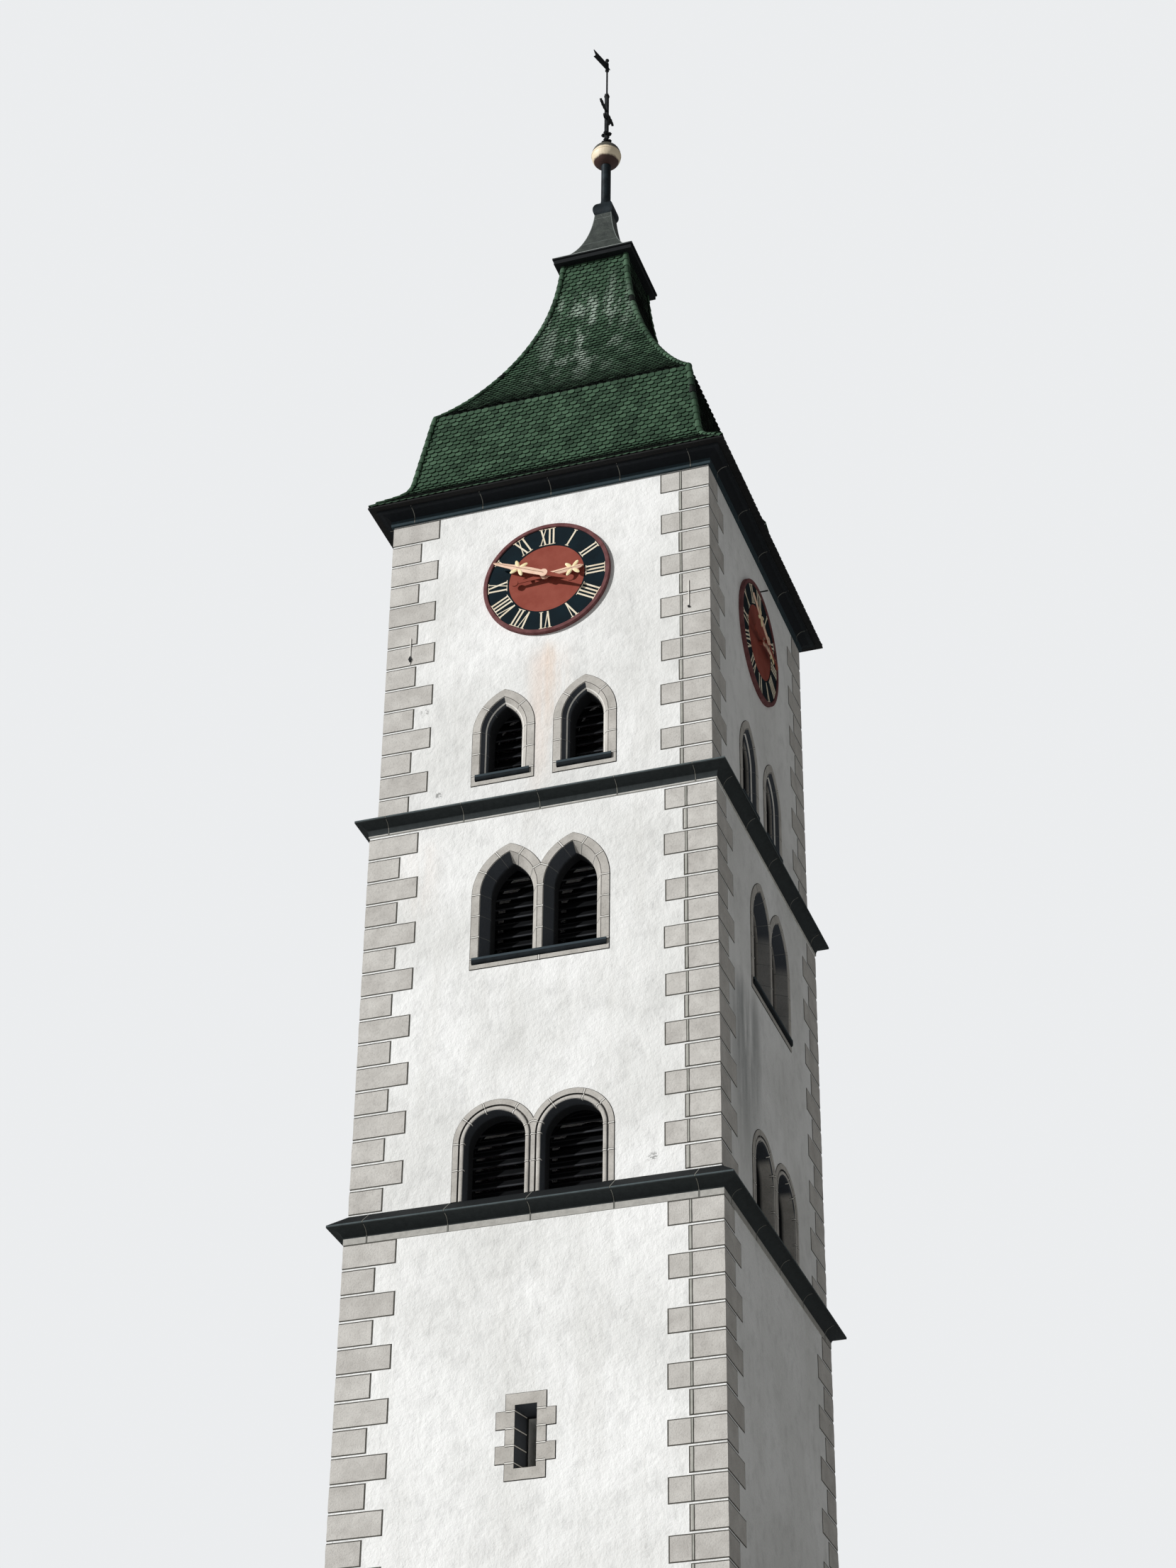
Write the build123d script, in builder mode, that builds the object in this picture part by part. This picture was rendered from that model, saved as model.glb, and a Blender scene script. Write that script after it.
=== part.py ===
from build123d import *
import math
import os

# Square church clock tower, a model at half the real size.
# Millimetres. X runs to the right along the front, Y runs back, Z runs up from the ground.
# The front face looks along -Y. All sizes are those of the model: the real ones are twice as large.

# Stages of the tower, from the ground up: the shaft, the belfry and the clock stage
shaft_height = 13118.0
belfry_height = 4445.0
clock_height = 3937.0
shaft_half = 1828.0
belfry_setback = 23.0
clock_setback = 55.0
shaft_wall = 700.0
belfry_wall = 550.0
clock_wall = 400.0
floor_thickness = 60.0
ground_floor_thickness = 120.0
shaft_storeys = 3
belfry_floor_rise = 2150.0

# Stone mouldings round the tower: how tall each member is and how far it reaches past the wall below
plinth_height = 400.0
plinth_reach = 60.0
plinth_slope = 60.0
lower_cornice_fascia = 62.0
lower_cornice_cove = 80.0
lower_cornice_cap = 22.0
lower_cornice_weathering = 133.0
lower_cornice_fascia_reach = 6.0
lower_cornice_reach = 132.0
upper_cornice_fascia = 14.0
upper_cornice_cove = 116.0
upper_cornice_cap = 24.0
upper_cornice_weathering = 116.0
upper_cornice_fascia_reach = 12.0
upper_cornice_reach = 125.0
eaves_fascia = 66.0
eaves_cove = 60.0
eaves_cap = 19.0
eaves_fascia_reach = 28.0
eaves_reach = 150.0
cornice_undercut = 14.0

# Roof: a steep lower part with a flared foot, then a hollow bell up to a flat slab. The lower part is given
# from the wall of the clock stage, and each further bend as its setback from the one below
board_thickness = 15.0
board_reach = 225.0
roof_thickness = 60.0
roof_foot_reach = 208.0
roof_foot_edge = 12.0
flare_mid_reach = 5.0
flare_mid_height = 215.0
flare_setback = 148.0
flare_height = 490.0
knee_setback = 294.0
knee_height = 1490.0
shoulder_setback = 288.0
shoulder_height = 409.0
waist_setback = 406.0
waist_height = 1219.0
throat_setback = 242.0
throat_height = 1944.0
bell_setback = 142.0
bell_height = 2875.0
slab_reach = 110.0
slab_thickness = 86.0
slab_edge = 26.0
slab_drip = 14.0

# Finial over the slab: spirelet, collar, pole, orb, wrought cross, rod and wind vane
spirelet_setback = 26.0
spirelet_hem = 10.0
spirelet_mid_half = 203.0
spirelet_mid_height = 420.0
spirelet_neck = 104.0
spirelet_height = 915.0
collar_roll = 20.0
collar_head_half = 88.0
collar_height = 190.0
pole_radius = 58.0
pole_foot_radius = 84.0
pole_foot_height = 130.0
pole_height = 668.0
orb_radius = 178.0
orb_seam_radius = 181.0
orb_seam_height = 14.0
cross_foot_radius = 40.0
cross_height = 868.0
cross_bar = 46.0
cross_knob_radius = 34.0
cross_arm_level = 570.0
leaf_length = 248.0
leaf_width = 78.0
leaf_neck = 30.0
leaf_thickness = 30.0
curl_radius = 46.0
curl_level = 450.0
curl_bar = 20.0
bud_radius = 27.0
bud_reach = 42.0
bud_levels = (70.0, 190.0)
rod_radius = 11.0
rod_height = 612.0
rod_stop_radius = 24.0
rod_stop_height = 14.0
vane_level = 420.0
vane_length = 290.0
vane_height = 112.0
vane_tail = 62.0
vane_tail_height = 48.0
vane_thickness = 10.0
vane_sleeve_radius = 20.0
vane_turn = 16.0
seat_gap = 0.3
running_gap = 0.05

# Pointed windows of the clock stage, two on every side
upper_spacing = 432.0
upper_half = 245.0
upper_stone = 85.0
upper_arch_shift = 184.0
upper_spring = 1077.0
upper_sill_top = 557.0
upper_stone_foot = 442.0
# Twin pointed windows of the belfry, a little to the right of the middle
twin_middle = 18.0
twin_spacing = 326.0
twin_half = 294.0
twin_stone = 85.0
twin_arch_shift = 187.0
twin_spring = 3567.0
twin_sill_top = 2852.0
twin_stone_foot = 2737.0
# Twin round windows of the belfry, which stand on the lower cornice
round_spacing = 378.0
round_half = 300.0
round_stone = 110.0
round_spring = 884.0
# Stone surrounds, sills and louvres
stone_proud = 8.0
surround_depth = 240.0
upper_hollow = 46.0
upper_hollow_depth = 42.0
upper_bevel = 20.0
upper_bevel_depth = 20.0
twin_splay = 72.0
twin_splay_depth = 106.0
round_roll = 46.0
roll_edge = 14.0
roll_shoulder = 5.0
groove_width = 12.0
louvre_seat = 30.0
sill_height = 70.0
upper_sill_overhang = 42.0
twin_sill_overhang = 64.0
sill_proud = 28.0
louvre_depth = 90.0
louvre_frame = 24.0
blade_pitch = 110.0
blade_thickness = 12.0
blade_angle = 54.0

# Slit windows of the shaft, one to a storey at the front and at the back
slit_half = 104.0
slit_height = 585.0
slit_drop = 1760.0
slit_inner_half = 56.0
slit_inner_height = 490.0
slit_splay = 190.0
slit_stone = 84.0
slit_long_stone = 172.0
slit_head_stone = 104.0
slit_stone_depth = 230.0

# Doorway at the foot of the front wall
door_half = 330.0
door_spring = 900.0
door_arch_shift = 190.0
door_stone = 120.0
door_reveal = 200.0
door_rebate = 30.0
door_thickness = 45.0
door_gap = 2.0

# Clock dials and hands
dial_drop = 1085.0
dial_radius = 648.0
dial_ring = 45.0
ring_depth = 42.0
plate_depth = 24.0
arbor_radius = 20.0
arbor_shoulder = 30.0
hour_plane = 72.0
minute_plane = 120.0
hand_thickness = 14.0
minute_boss = 24.0
minute_bore = 11.0
hub_radius = 44.0
minute_length = 612.0
minute_width = 62.0
minute_tip = 24.0
minute_flower = 298.0
hour_length = 425.0
hour_width = 56.0
hour_tip = 26.0
hour_flower = 300.0
lobe_radius = 26.0
lobe_spread = 58.0
lobe_lift = 46.0
lobe_bar = 20.0
tail_length = 330.0
tail_width = 24.0
weight_radius = 36.0
minute_angle = 294.0
hour_angle = 84.5

# Levels and widths that follow from the sizes above
belfry_foot = shaft_height
clock_foot = belfry_foot + belfry_height
eaves_foot = clock_foot + clock_height
board_foot = eaves_foot + eaves_fascia + eaves_cove + eaves_cap
wall_head = board_foot + board_thickness
knee_level = wall_head + knee_height
slab_foot = knee_level + bell_height
slab_head = slab_foot + slab_thickness
collar_foot = slab_head + spirelet_height
pole_foot = collar_foot + collar_height
pole_head = pole_foot + pole_height
orb_middle = pole_head + math.sqrt(orb_radius**2 - pole_radius**2)
cross_foot = orb_middle + math.sqrt(orb_radius**2 - cross_foot_radius**2)
rod_foot = cross_foot + cross_height
vane_foot = rod_foot + vane_level
belfry_half = shaft_half - belfry_setback
clock_half = belfry_half - clock_setback
roof_foot_half = clock_half + roof_foot_reach
flare_mid_half = clock_half + flare_mid_reach
flare_half = clock_half - flare_setback
knee_half = clock_half - knee_setback
shoulder_half = knee_half - shoulder_setback
waist_half = shoulder_half - waist_setback
throat_half = waist_half - throat_setback
bell_half = throat_half - bell_setback
slab_half = bell_half + slab_reach
spirelet_half = slab_half - spirelet_setback
shaft_inside = shaft_half - shaft_wall
belfry_inside = belfry_half - belfry_wall
clock_inside = clock_half - clock_wall
storey_height = shaft_height / shaft_storeys
lower_cornice_soffit = lower_cornice_fascia + lower_cornice_cove
lower_cornice_head = lower_cornice_soffit + lower_cornice_cap + lower_cornice_weathering
upper_inset = upper_hollow + upper_bevel
dial_level = eaves_foot - dial_drop
eaves_half = clock_half + board_reach
sweep_reach = 2 * eaves_half
sides = {"front": 0, "right": 90, "back": 180, "left": 270}


# A plane on one side of the tower: its X runs to the right as seen from outside, its Y runs up
def side_plane(side, half):
    turn = math.radians(sides[side])
    outward = Vector(math.sin(turn), -math.cos(turn), 0)
    return Plane(origin=outward * half, x_dir=(math.cos(turn), math.sin(turn), 0), z_dir=outward)


# Outline of a pointed light. Lights with the same shift and spring line have arcs round the same centres
def pointed_light(half, foot, spring, shift, middle=0.0):
    radius = half + shift
    rise = math.sqrt(radius**2 - shift**2)
    lean = 0.5 * math.acos(shift / radius)
    bend_x = radius * math.cos(lean) - shift
    bend_y = spring + radius * math.sin(lean)
    with BuildSketch() as light:
        with BuildLine():
            Polyline((-half, spring), (-half, foot), (half, foot), (half, spring))
            ThreePointArc((half, spring), (bend_x, bend_y), (0, spring + rise))
            ThreePointArc((0, spring + rise), (-bend_x, bend_y), (-half, spring))
        make_face()
    return light.sketch.moved(Location((middle, 0, 0)))


# Outline of a round-headed light
def round_light(half, foot, spring, middle=0.0):
    with BuildSketch() as light:
        with BuildLine():
            Polyline((-half, spring), (-half, foot), (half, foot), (half, spring))
            ThreePointArc((half, spring), (0, spring + half), (-half, spring))
        make_face()
    return light.sketch.moved(Location((middle, 0, 0)))


def block_outline(half, foot, head, middle=0.0):
    with BuildSketch() as outline:
        with Locations((middle, (foot + head) / 2)):
            Rectangle(2 * half, head - foot)
    return outline.sketch


def upper_light(grow, foot, middle):
    spring = clock_foot + upper_spring
    return pointed_light(upper_half + grow, clock_foot + foot, spring, upper_arch_shift, middle)


def twin_light(grow, foot, middle):
    spring = belfry_foot + twin_spring
    return pointed_light(twin_half + grow, belfry_foot + foot, spring, twin_arch_shift, middle)


def arched_light(grow, foot, middle):
    return round_light(round_half + grow, belfry_foot + foot, belfry_foot + round_spring, middle)


# A block of wall on one side, with outlines cut into it to the depths given
def wall_block(side, half, thickness, foot, head, cuts):
    run = half if side in ("front", "back") else half - thickness
    with BuildPart() as block:
        with BuildSketch(side_plane(side, half)):
            add(block_outline(run, foot, head))
        extrude(amount=-thickness)
        for outline, depth in cuts:
            with BuildSketch(side_plane(side, half)):
                add(outline)
            extrude(amount=-depth, mode=Mode.SUBTRACT)
    return block.part


# One piece of the front copied to all four sides
def on_all_sides(pieces):
    with BuildPart() as group:
        with PolarLocations(0, len(sides)):
            for piece in pieces:
                add(piece)
    return group.part


def keep(piece, name):
    piece.label = name
    export_step(piece, f"parts/{name}.step")


os.makedirs("parts", exist_ok=True)

# Clock stage: walls with two pointed windows on every side
upper_middles = (-upper_spacing, upper_spacing)
upper_cuts = []
for middle in upper_middles:
    upper_cuts.append((upper_light(upper_stone, upper_stone_foot, middle), surround_depth))
    upper_cuts.append((upper_light(louvre_seat - upper_inset, upper_sill_top, middle), clock_wall))
for side in sides:
    clock_block = wall_block(side, clock_half, clock_wall, clock_foot, wall_head, upper_cuts)
    keep(clock_block, f"clock_stage_{side}_wall")

# Belfry: walls with a twin pointed window over a twin round one
twin_middles = (twin_middle - twin_spacing, twin_middle + twin_spacing)
round_middles = (-round_spacing, round_spacing)
belfry_cuts = []
for middle in twin_middles:
    belfry_cuts.append((twin_light(twin_stone, twin_stone_foot, middle), surround_depth))
    belfry_cuts.append((twin_light(louvre_seat - twin_splay, twin_sill_top, middle), belfry_wall))
for middle in round_middles:
    belfry_cuts.append((arched_light(round_stone, lower_cornice_head, middle), surround_depth))
    belfry_cuts.append((arched_light(louvre_seat, lower_cornice_head, middle), belfry_wall))
twin_infill = block_outline(
    twin_spacing,
    belfry_foot + twin_stone_foot,
    belfry_foot + twin_spring,
    twin_middle,
)
round_infill = block_outline(round_spacing, belfry_foot + lower_cornice_head, belfry_foot + round_spring)
belfry_cuts.append((twin_infill, surround_depth))
belfry_cuts.append((round_infill, surround_depth))
for side in sides:
    belfry_block = wall_block(side, belfry_half, belfry_wall, belfry_foot, clock_foot, belfry_cuts)
    keep(belfry_block, f"belfry_{side}_wall")

# Shaft: plain walls, with slit windows at the front and back and a doorway at the front
slit_heads = [shaft_height - slit_drop - storey * storey_height for storey in range(shaft_storeys)]
slit_outline_half = slit_half + slit_stone
slit_course = (slit_height + 2 * slit_head_stone) / 5


def slit_stones(head):
    top = head + slit_head_stone
    with BuildSketch() as stones:
        add(block_outline(slit_outline_half, top - 5 * slit_course, top))
        for course in (1, 3):
            course_head = top - course * slit_course
            add(block_outline(slit_half + slit_long_stone, course_head - slit_course, course_head))
    return stones.sketch


def slit_inner(head):
    inner_head = head - (slit_height - slit_inner_height) / 2
    return block_outline(slit_inner_half, inner_head - slit_inner_height, inner_head)


def doorway(grow):
    return pointed_light(door_half + grow, 0, door_spring, door_arch_shift)


slit_cuts = []
for head in slit_heads:
    slit_cuts.append((slit_stones(head), slit_stone_depth))
    slit_cuts.append((slit_inner(head), shaft_wall))
door_cuts = [(doorway(door_stone), door_reveal), (doorway(door_rebate), shaft_wall)]
shaft_cuts = {"front": slit_cuts + door_cuts, "right": [], "back": slit_cuts, "left": []}
for side in sides:
    shaft_block = wall_block(side, shaft_half, shaft_wall, 0, shaft_height, shaft_cuts[side])
    keep(shaft_block, f"shaft_{side}_wall")

# Plank floors rest on the ledges where the wall below is thicker, and the ground floor is stone
with BuildPart() as ground_floor:
    with Locations((0, 0, ground_floor_thickness / 2)):
        Box(2 * shaft_inside, 2 * shaft_inside, ground_floor_thickness)
keep(ground_floor.part, "ground_floor")

shaft_floor_levels = [storey * storey_height - floor_thickness / 2 for storey in range(1, shaft_storeys)]
belfry_floor_levels = [belfry_foot + rise + floor_thickness / 2 for rise in (0, belfry_floor_rise)]
with BuildPart() as plank_floors:
    with Locations([(0, 0, level) for level in shaft_floor_levels]):
        Box(2 * shaft_inside, 2 * shaft_inside, floor_thickness)
    with Locations([(0, 0, level) for level in belfry_floor_levels]):
        Box(2 * belfry_inside, 2 * belfry_inside, floor_thickness)
    with Locations((0, 0, clock_foot + floor_thickness / 2)):
        Box(2 * clock_inside, 2 * clock_inside, floor_thickness)
keep(plank_floors.part, "plank_floors")


# Mouldings: each half outline is swept square round the tower and hollowed to sit against the wall
def square_ring(half_outline, inside):
    with BuildPart() as ring:
        with BuildSketch(Plane.XZ):
            add(half_outline)
            mirror(about=Plane.YZ)
        extrude(amount=sweep_reach, both=True)
        with BuildSketch(Plane.YZ):
            add(half_outline)
            mirror(about=Plane.YZ)
        extrude(amount=sweep_reach, both=True, mode=Mode.INTERSECT)
        if inside:
            with Locations((0, 0, slab_foot / 2)):
                Box(2 * inside, 2 * inside, 2 * slab_foot, mode=Mode.SUBTRACT)
    return ring.part


# A moulding from the foot up: a fascia, a hollow cove, a square cap and a sloping top
def moulding(wall, above, foot, fascia, cove, cap, weathering, fascia_reach, reach):
    fascia_head = foot + fascia
    cove_head = fascia_head + cove
    cap_head = cove_head + cap
    head = cap_head + weathering
    cove_out = wall + reach - cornice_undercut
    cove_in = wall + fascia_reach
    bend = (cove_in + 0.3 * (cove_out - cove_in), fascia_head + 0.7 * cove)
    with BuildSketch() as outline:
        with BuildLine():
            Polyline((0, foot), (cove_in, foot), (cove_in, fascia_head))
            ThreePointArc((cove_in, fascia_head), bend, (cove_out, cove_head))
            Polyline((cove_out, cove_head), (wall + reach, cove_head), (wall + reach, cap_head))
            Polyline((wall + reach, cap_head), (above, head), (0, head), (0, foot))
        make_face()
    return outline.sketch


lower_cornice_outline = moulding(
    shaft_half,
    belfry_half,
    belfry_foot,
    lower_cornice_fascia,
    lower_cornice_cove,
    lower_cornice_cap,
    lower_cornice_weathering,
    lower_cornice_fascia_reach,
    lower_cornice_reach,
)
keep(square_ring(lower_cornice_outline, belfry_half), "lower_cornice")
upper_cornice_outline = moulding(
    belfry_half,
    clock_half,
    clock_foot,
    upper_cornice_fascia,
    upper_cornice_cove,
    upper_cornice_cap,
    upper_cornice_weathering,
    upper_cornice_fascia_reach,
    upper_cornice_reach,
)
keep(square_ring(upper_cornice_outline, clock_half), "upper_cornice")
eaves_outline = moulding(
    clock_half,
    clock_half,
    eaves_foot,
    eaves_fascia,
    eaves_cove,
    eaves_cap,
    0,
    eaves_fascia_reach,
    eaves_reach,
)
keep(square_ring(eaves_outline, clock_half), "eaves_cornice")

with BuildPart() as eaves_board:
    with Locations((0, 0, board_foot + board_thickness / 2)):
        Box(2 * (clock_half + board_reach), 2 * (clock_half + board_reach), board_thickness)
        Box(2 * clock_half, 2 * clock_half, board_thickness, mode=Mode.SUBTRACT)
keep(eaves_board.part, "eaves_board")


# Roof: hollow shells with the same curve inside and out
def lower_roof_outline(inset):
    flare_lean = (flare_half - knee_half, flare_height - knee_height)
    with BuildSketch() as outline:
        with BuildLine():
            Polyline((0, 0), (roof_foot_half - inset, 0), (roof_foot_half - inset, roof_foot_edge))
            Spline(
                (roof_foot_half - inset, roof_foot_edge),
                (flare_mid_half - inset, flare_mid_height),
                (flare_half - inset, flare_height),
                tangents=((-1, 1), (-flare_lean[0], -flare_lean[1])),
            )
            Line((flare_half - inset, flare_height), (knee_half - inset, knee_height))
            Polyline((knee_half - inset, knee_height), (0, knee_height), (0, 0))
        make_face()
    return outline.sketch.moved(Location((0, wall_head, 0)))


def upper_roof_outline(inset):
    with BuildSketch() as outline:
        with BuildLine():
            Line((0, 0), (knee_half - inset, 0))
            Spline(
                (knee_half - inset, 0),
                (shoulder_half - inset, shoulder_height),
                (waist_half - inset, waist_height),
                (throat_half - inset, throat_height),
                (bell_half - inset, bell_height),
                tangents=((-1, 1.19), (-0.07, 1)),
            )
            Polyline((bell_half - inset, bell_height), (0, bell_height), (0, 0))
        make_face()
    return outline.sketch.moved(Location((0, knee_level, 0)))


with BuildPart() as roof_lower:
    add(square_ring(lower_roof_outline(0), 0))
    add(square_ring(lower_roof_outline(roof_thickness), 0), mode=Mode.SUBTRACT)
keep(roof_lower.part, "roof_lower")

with BuildPart() as roof_upper:
    add(square_ring(upper_roof_outline(0), 0))
    add(square_ring(upper_roof_outline(roof_thickness), 0), mode=Mode.SUBTRACT)
keep(roof_upper.part, "roof_upper")

with BuildSketch() as slab_outline:
    with BuildLine():
        Polyline(
            (0, slab_foot),
            (slab_half - slab_drip, slab_foot),
            (slab_half - slab_drip, slab_head - slab_edge),
            (slab_half, slab_head - slab_edge),
            (slab_half, slab_head),
            (0, slab_head),
            (0, slab_foot),
        )
    make_face()
keep(square_ring(slab_outline.sketch, 0), "roof_slab")

# Finial: a hollow-sided spirelet and its cushion-shaped collar, both square
with BuildSketch() as spirelet_outline:
    with BuildLine():
        Polyline((0, slab_head), (spirelet_half, slab_head), (spirelet_half, slab_head + spirelet_hem))
        Spline(
            (spirelet_half, slab_head + spirelet_hem),
            (spirelet_mid_half, slab_head + spirelet_mid_height),
            (spirelet_neck, collar_foot),
            tangents=((-1, 0.8), (-0.08, 1)),
        )
        Polyline((spirelet_neck, collar_foot), (0, collar_foot), (0, slab_head))
    make_face()
keep(square_ring(spirelet_outline.sketch, 0), "spirelet")

with BuildSketch() as collar_outline:
    with BuildLine():
        Line((0, collar_foot), (spirelet_neck, collar_foot))
        ThreePointArc(
            (spirelet_neck, collar_foot),
            (spirelet_neck + collar_roll, collar_foot + 0.4 * collar_height),
            (collar_head_half, pole_foot),
        )
        Polyline((collar_head_half, pole_foot), (0, pole_foot), (0, collar_foot))
    make_face()
keep(square_ring(collar_outline.sketch, 0), "spirelet_collar")

with BuildPart() as pole:
    with BuildSketch(Plane.XZ):
        with BuildLine():
            Line((0, pole_foot), (pole_foot_radius, pole_foot))
            ThreePointArc(
                (pole_foot_radius, pole_foot),
                (pole_radius + 0.3 * (pole_foot_radius - pole_radius), pole_foot + 0.4 * pole_foot_height),
                (pole_radius, pole_foot + pole_foot_height),
            )
            Line((pole_radius, pole_foot + pole_foot_height), (pole_radius, pole_head))
            Polyline((pole_radius, pole_head), (0, pole_head), (0, pole_foot))
        make_face()
    revolve(axis=Axis.Z)
keep(pole.part, "finial_pole")

# The orb is flattened where it sits on the pole and under the cross, and has a seam round its middle
with BuildPart() as orb:
    with Locations((0, 0, orb_middle)):
        Sphere(orb_radius)
        Cylinder(orb_seam_radius, orb_seam_height)
    with Locations((0, 0, (pole_head + cross_foot) / 2)):
        Box(4 * orb_radius, 4 * orb_radius, cross_foot - pole_head, mode=Mode.INTERSECT)
keep(orb.part, "orb")

# Wrought cross: a square stem with a knob, two leaves for arms, curls below them and buds round the foot
cross_plane = Plane(origin=(0, 0, cross_foot), x_dir=(0, 1, 0), z_dir=(1, 0, 0))
curl_middle = cross_bar / 2 + curl_radius - curl_bar / 2
with BuildPart() as cross:
    with Locations((0, 0, cross_foot + cross_height / 2)):
        Box(cross_bar, cross_bar, cross_height)
    with Locations((0, 0, rod_foot - cross_knob_radius)):
        Sphere(cross_knob_radius)
    with BuildSketch(cross_plane):
        for way in (-1, 1):
            with BuildLine():
                Spline(
                    (0, cross_arm_level - leaf_neck / 2),
                    (way * 0.7 * leaf_length, cross_arm_level - leaf_width / 2),
                    (way * leaf_length, cross_arm_level),
                )
                Spline(
                    (way * leaf_length, cross_arm_level),
                    (way * 0.7 * leaf_length, cross_arm_level + leaf_width / 2),
                    (0, cross_arm_level + leaf_neck / 2),
                )
                Line((0, cross_arm_level + leaf_neck / 2), (0, cross_arm_level - leaf_neck / 2))
            make_face()
        with Locations((-curl_middle, curl_level), (curl_middle, curl_level)):
            Circle(curl_radius)
            Circle(curl_radius - curl_bar, mode=Mode.SUBTRACT)
    extrude(amount=leaf_thickness / 2, both=True)
    for level in bud_levels:
        with Locations((0, 0, cross_foot + level)):
            with PolarLocations(bud_reach, len(sides)):
                Sphere(bud_radius)
    with BuildSketch(Plane.XY.offset(cross_foot)):
        Circle(cross_foot_radius)
    extrude(amount=cross_bar)
keep(cross.part, "finial_cross")

# The rod carries a stop for the vane and ends in a small ball
with BuildPart() as rod:
    with BuildSketch(Plane.XY.offset(rod_foot)):
        Circle(rod_radius)
    extrude(amount=rod_height - rod_stop_radius)
    with Locations((0, 0, vane_foot - seat_gap - rod_stop_height / 2)):
        Cylinder(rod_stop_radius, rod_stop_height)
    with Locations((0, 0, rod_foot + rod_height - rod_stop_radius)):
        Sphere(rod_stop_radius)
keep(rod.part, "vane_rod")

# The vane trails towards the front, a little to the left
vane_way = math.radians(vane_turn)
vane_run = Vector(-math.sin(vane_way), -math.cos(vane_way), 0)
vane_plane = Plane(origin=(0, 0, vane_foot), x_dir=vane_run, z_dir=vane_run.cross(Vector(0, 0, 1)))
with BuildPart() as vane:
    with BuildSketch(vane_plane):
        with BuildLine():
            Polyline(
                (0, 0),
                (vane_length, 0),
                (0.85 * vane_length, vane_height / 2),
                (vane_length, vane_height),
                (0, vane_height),
                (0, 0),
            )
        make_face()
        with BuildLine():
            Polyline(
                (0, 0.4 * vane_height),
                (-vane_tail + vane_tail_height, 0.4 * vane_height),
                (-vane_tail + vane_tail_height, 0.5 * vane_height - vane_tail_height / 2),
                (-vane_tail, vane_height / 2),
                (-vane_tail + vane_tail_height, 0.5 * vane_height + vane_tail_height / 2),
                (-vane_tail + vane_tail_height, 0.6 * vane_height),
                (0, 0.6 * vane_height),
                (0, 0.4 * vane_height),
            )
        make_face()
    extrude(amount=vane_thickness / 2, both=True)
    with BuildSketch(Plane.XY.offset(vane_foot)):
        Circle(vane_sleeve_radius)
    extrude(amount=vane_height)
    with BuildSketch(Plane.XY.offset(vane_foot)):
        Circle(rod_radius + running_gap)
    extrude(amount=vane_height, mode=Mode.SUBTRACT)
keep(vane.part, "wind_vane")


# The solid between a row of outlines, each at its own depth behind the face of the stone
def taper(half, steps):
    with BuildPart() as solid:
        for (near_outline, near_depth), (far_outline, far_depth) in zip(steps, steps[1:]):
            with BuildSketch(side_plane("front", half + stone_proud - near_depth)):
                add(near_outline)
            with BuildSketch(side_plane("front", half + stone_proud - far_depth)):
                add(far_outline)
            loft()
    return solid.part


# A stone surround in the front wall. Each opening is a row of outlines with their depths from the face:
# it tapers from one outline to the next, and runs straight back from the last one
def surround(half, outlines, openings, sill_outline):
    with BuildPart() as stones:
        with BuildSketch(side_plane("front", half + stone_proud)):
            for outline in outlines:
                add(outline)
        extrude(amount=-(surround_depth + stone_proud))
        for steps in openings:
            add(taper(half, steps), mode=Mode.SUBTRACT)
            last_outline, last_depth = steps[-1]
            with BuildSketch(side_plane("front", half + stone_proud - last_depth)):
                add(last_outline)
            extrude(amount=-(surround_depth + stone_proud), mode=Mode.SUBTRACT)
        if sill_outline:
            with BuildSketch(side_plane("front", half + stone_proud)):
                add(sill_outline)
            extrude(amount=-(surround_depth + stone_proud), mode=Mode.SUBTRACT)
    return stones.part


# A stone sill that fills its slot in the surround and stands proud of the wall, rounded below
def sill(half, middle, run, head):
    with BuildPart() as stone:
        with BuildSketch(side_plane("front", half + sill_proud)):
            add(block_outline(run, head - sill_height, head, middle))
        extrude(amount=-(sill_proud + surround_depth))
        nose = stone.edges().filter_by(Axis.X).group_by(Axis.Y)[0].sort_by(Axis.Z)[0]
        fillet(nose, 0.9 * sill_proud)
    return stone.part


# A louvre panel behind a surround: a frame hidden by the stone and sloping blades across it
def louvre(half, light, inset, sill_top, middle, run, foot, head):
    panel_half = half - surround_depth
    outline = light(louvre_seat - inset, sill_top, middle)
    frame_opening = light(louvre_seat - louvre_frame - inset, sill_top + louvre_frame, middle)
    blade_count = int((head - foot) / blade_pitch)
    blade_levels = [foot + (blade + 0.5) * blade_pitch for blade in range(blade_count)]
    blade_run = louvre_depth / math.cos(math.radians(blade_angle))
    with BuildPart() as panel:
        with Locations([(middle, -(panel_half - louvre_depth / 2), level) for level in blade_levels]):
            Box(2 * run, blade_run, blade_thickness, rotation=(blade_angle, 0, 0))
        with BuildSketch(side_plane("front", panel_half)):
            add(outline)
        extrude(amount=-louvre_depth, mode=Mode.INTERSECT)
        with BuildSketch(side_plane("front", panel_half)):
            add(outline)
            add(frame_opening, mode=Mode.SUBTRACT)
        extrude(amount=-louvre_depth)
    return panel.part


# Height of a pointed arch over its spring line
def arch_rise(half, shift):
    return math.sqrt((half + shift) ** 2 - shift**2)


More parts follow.
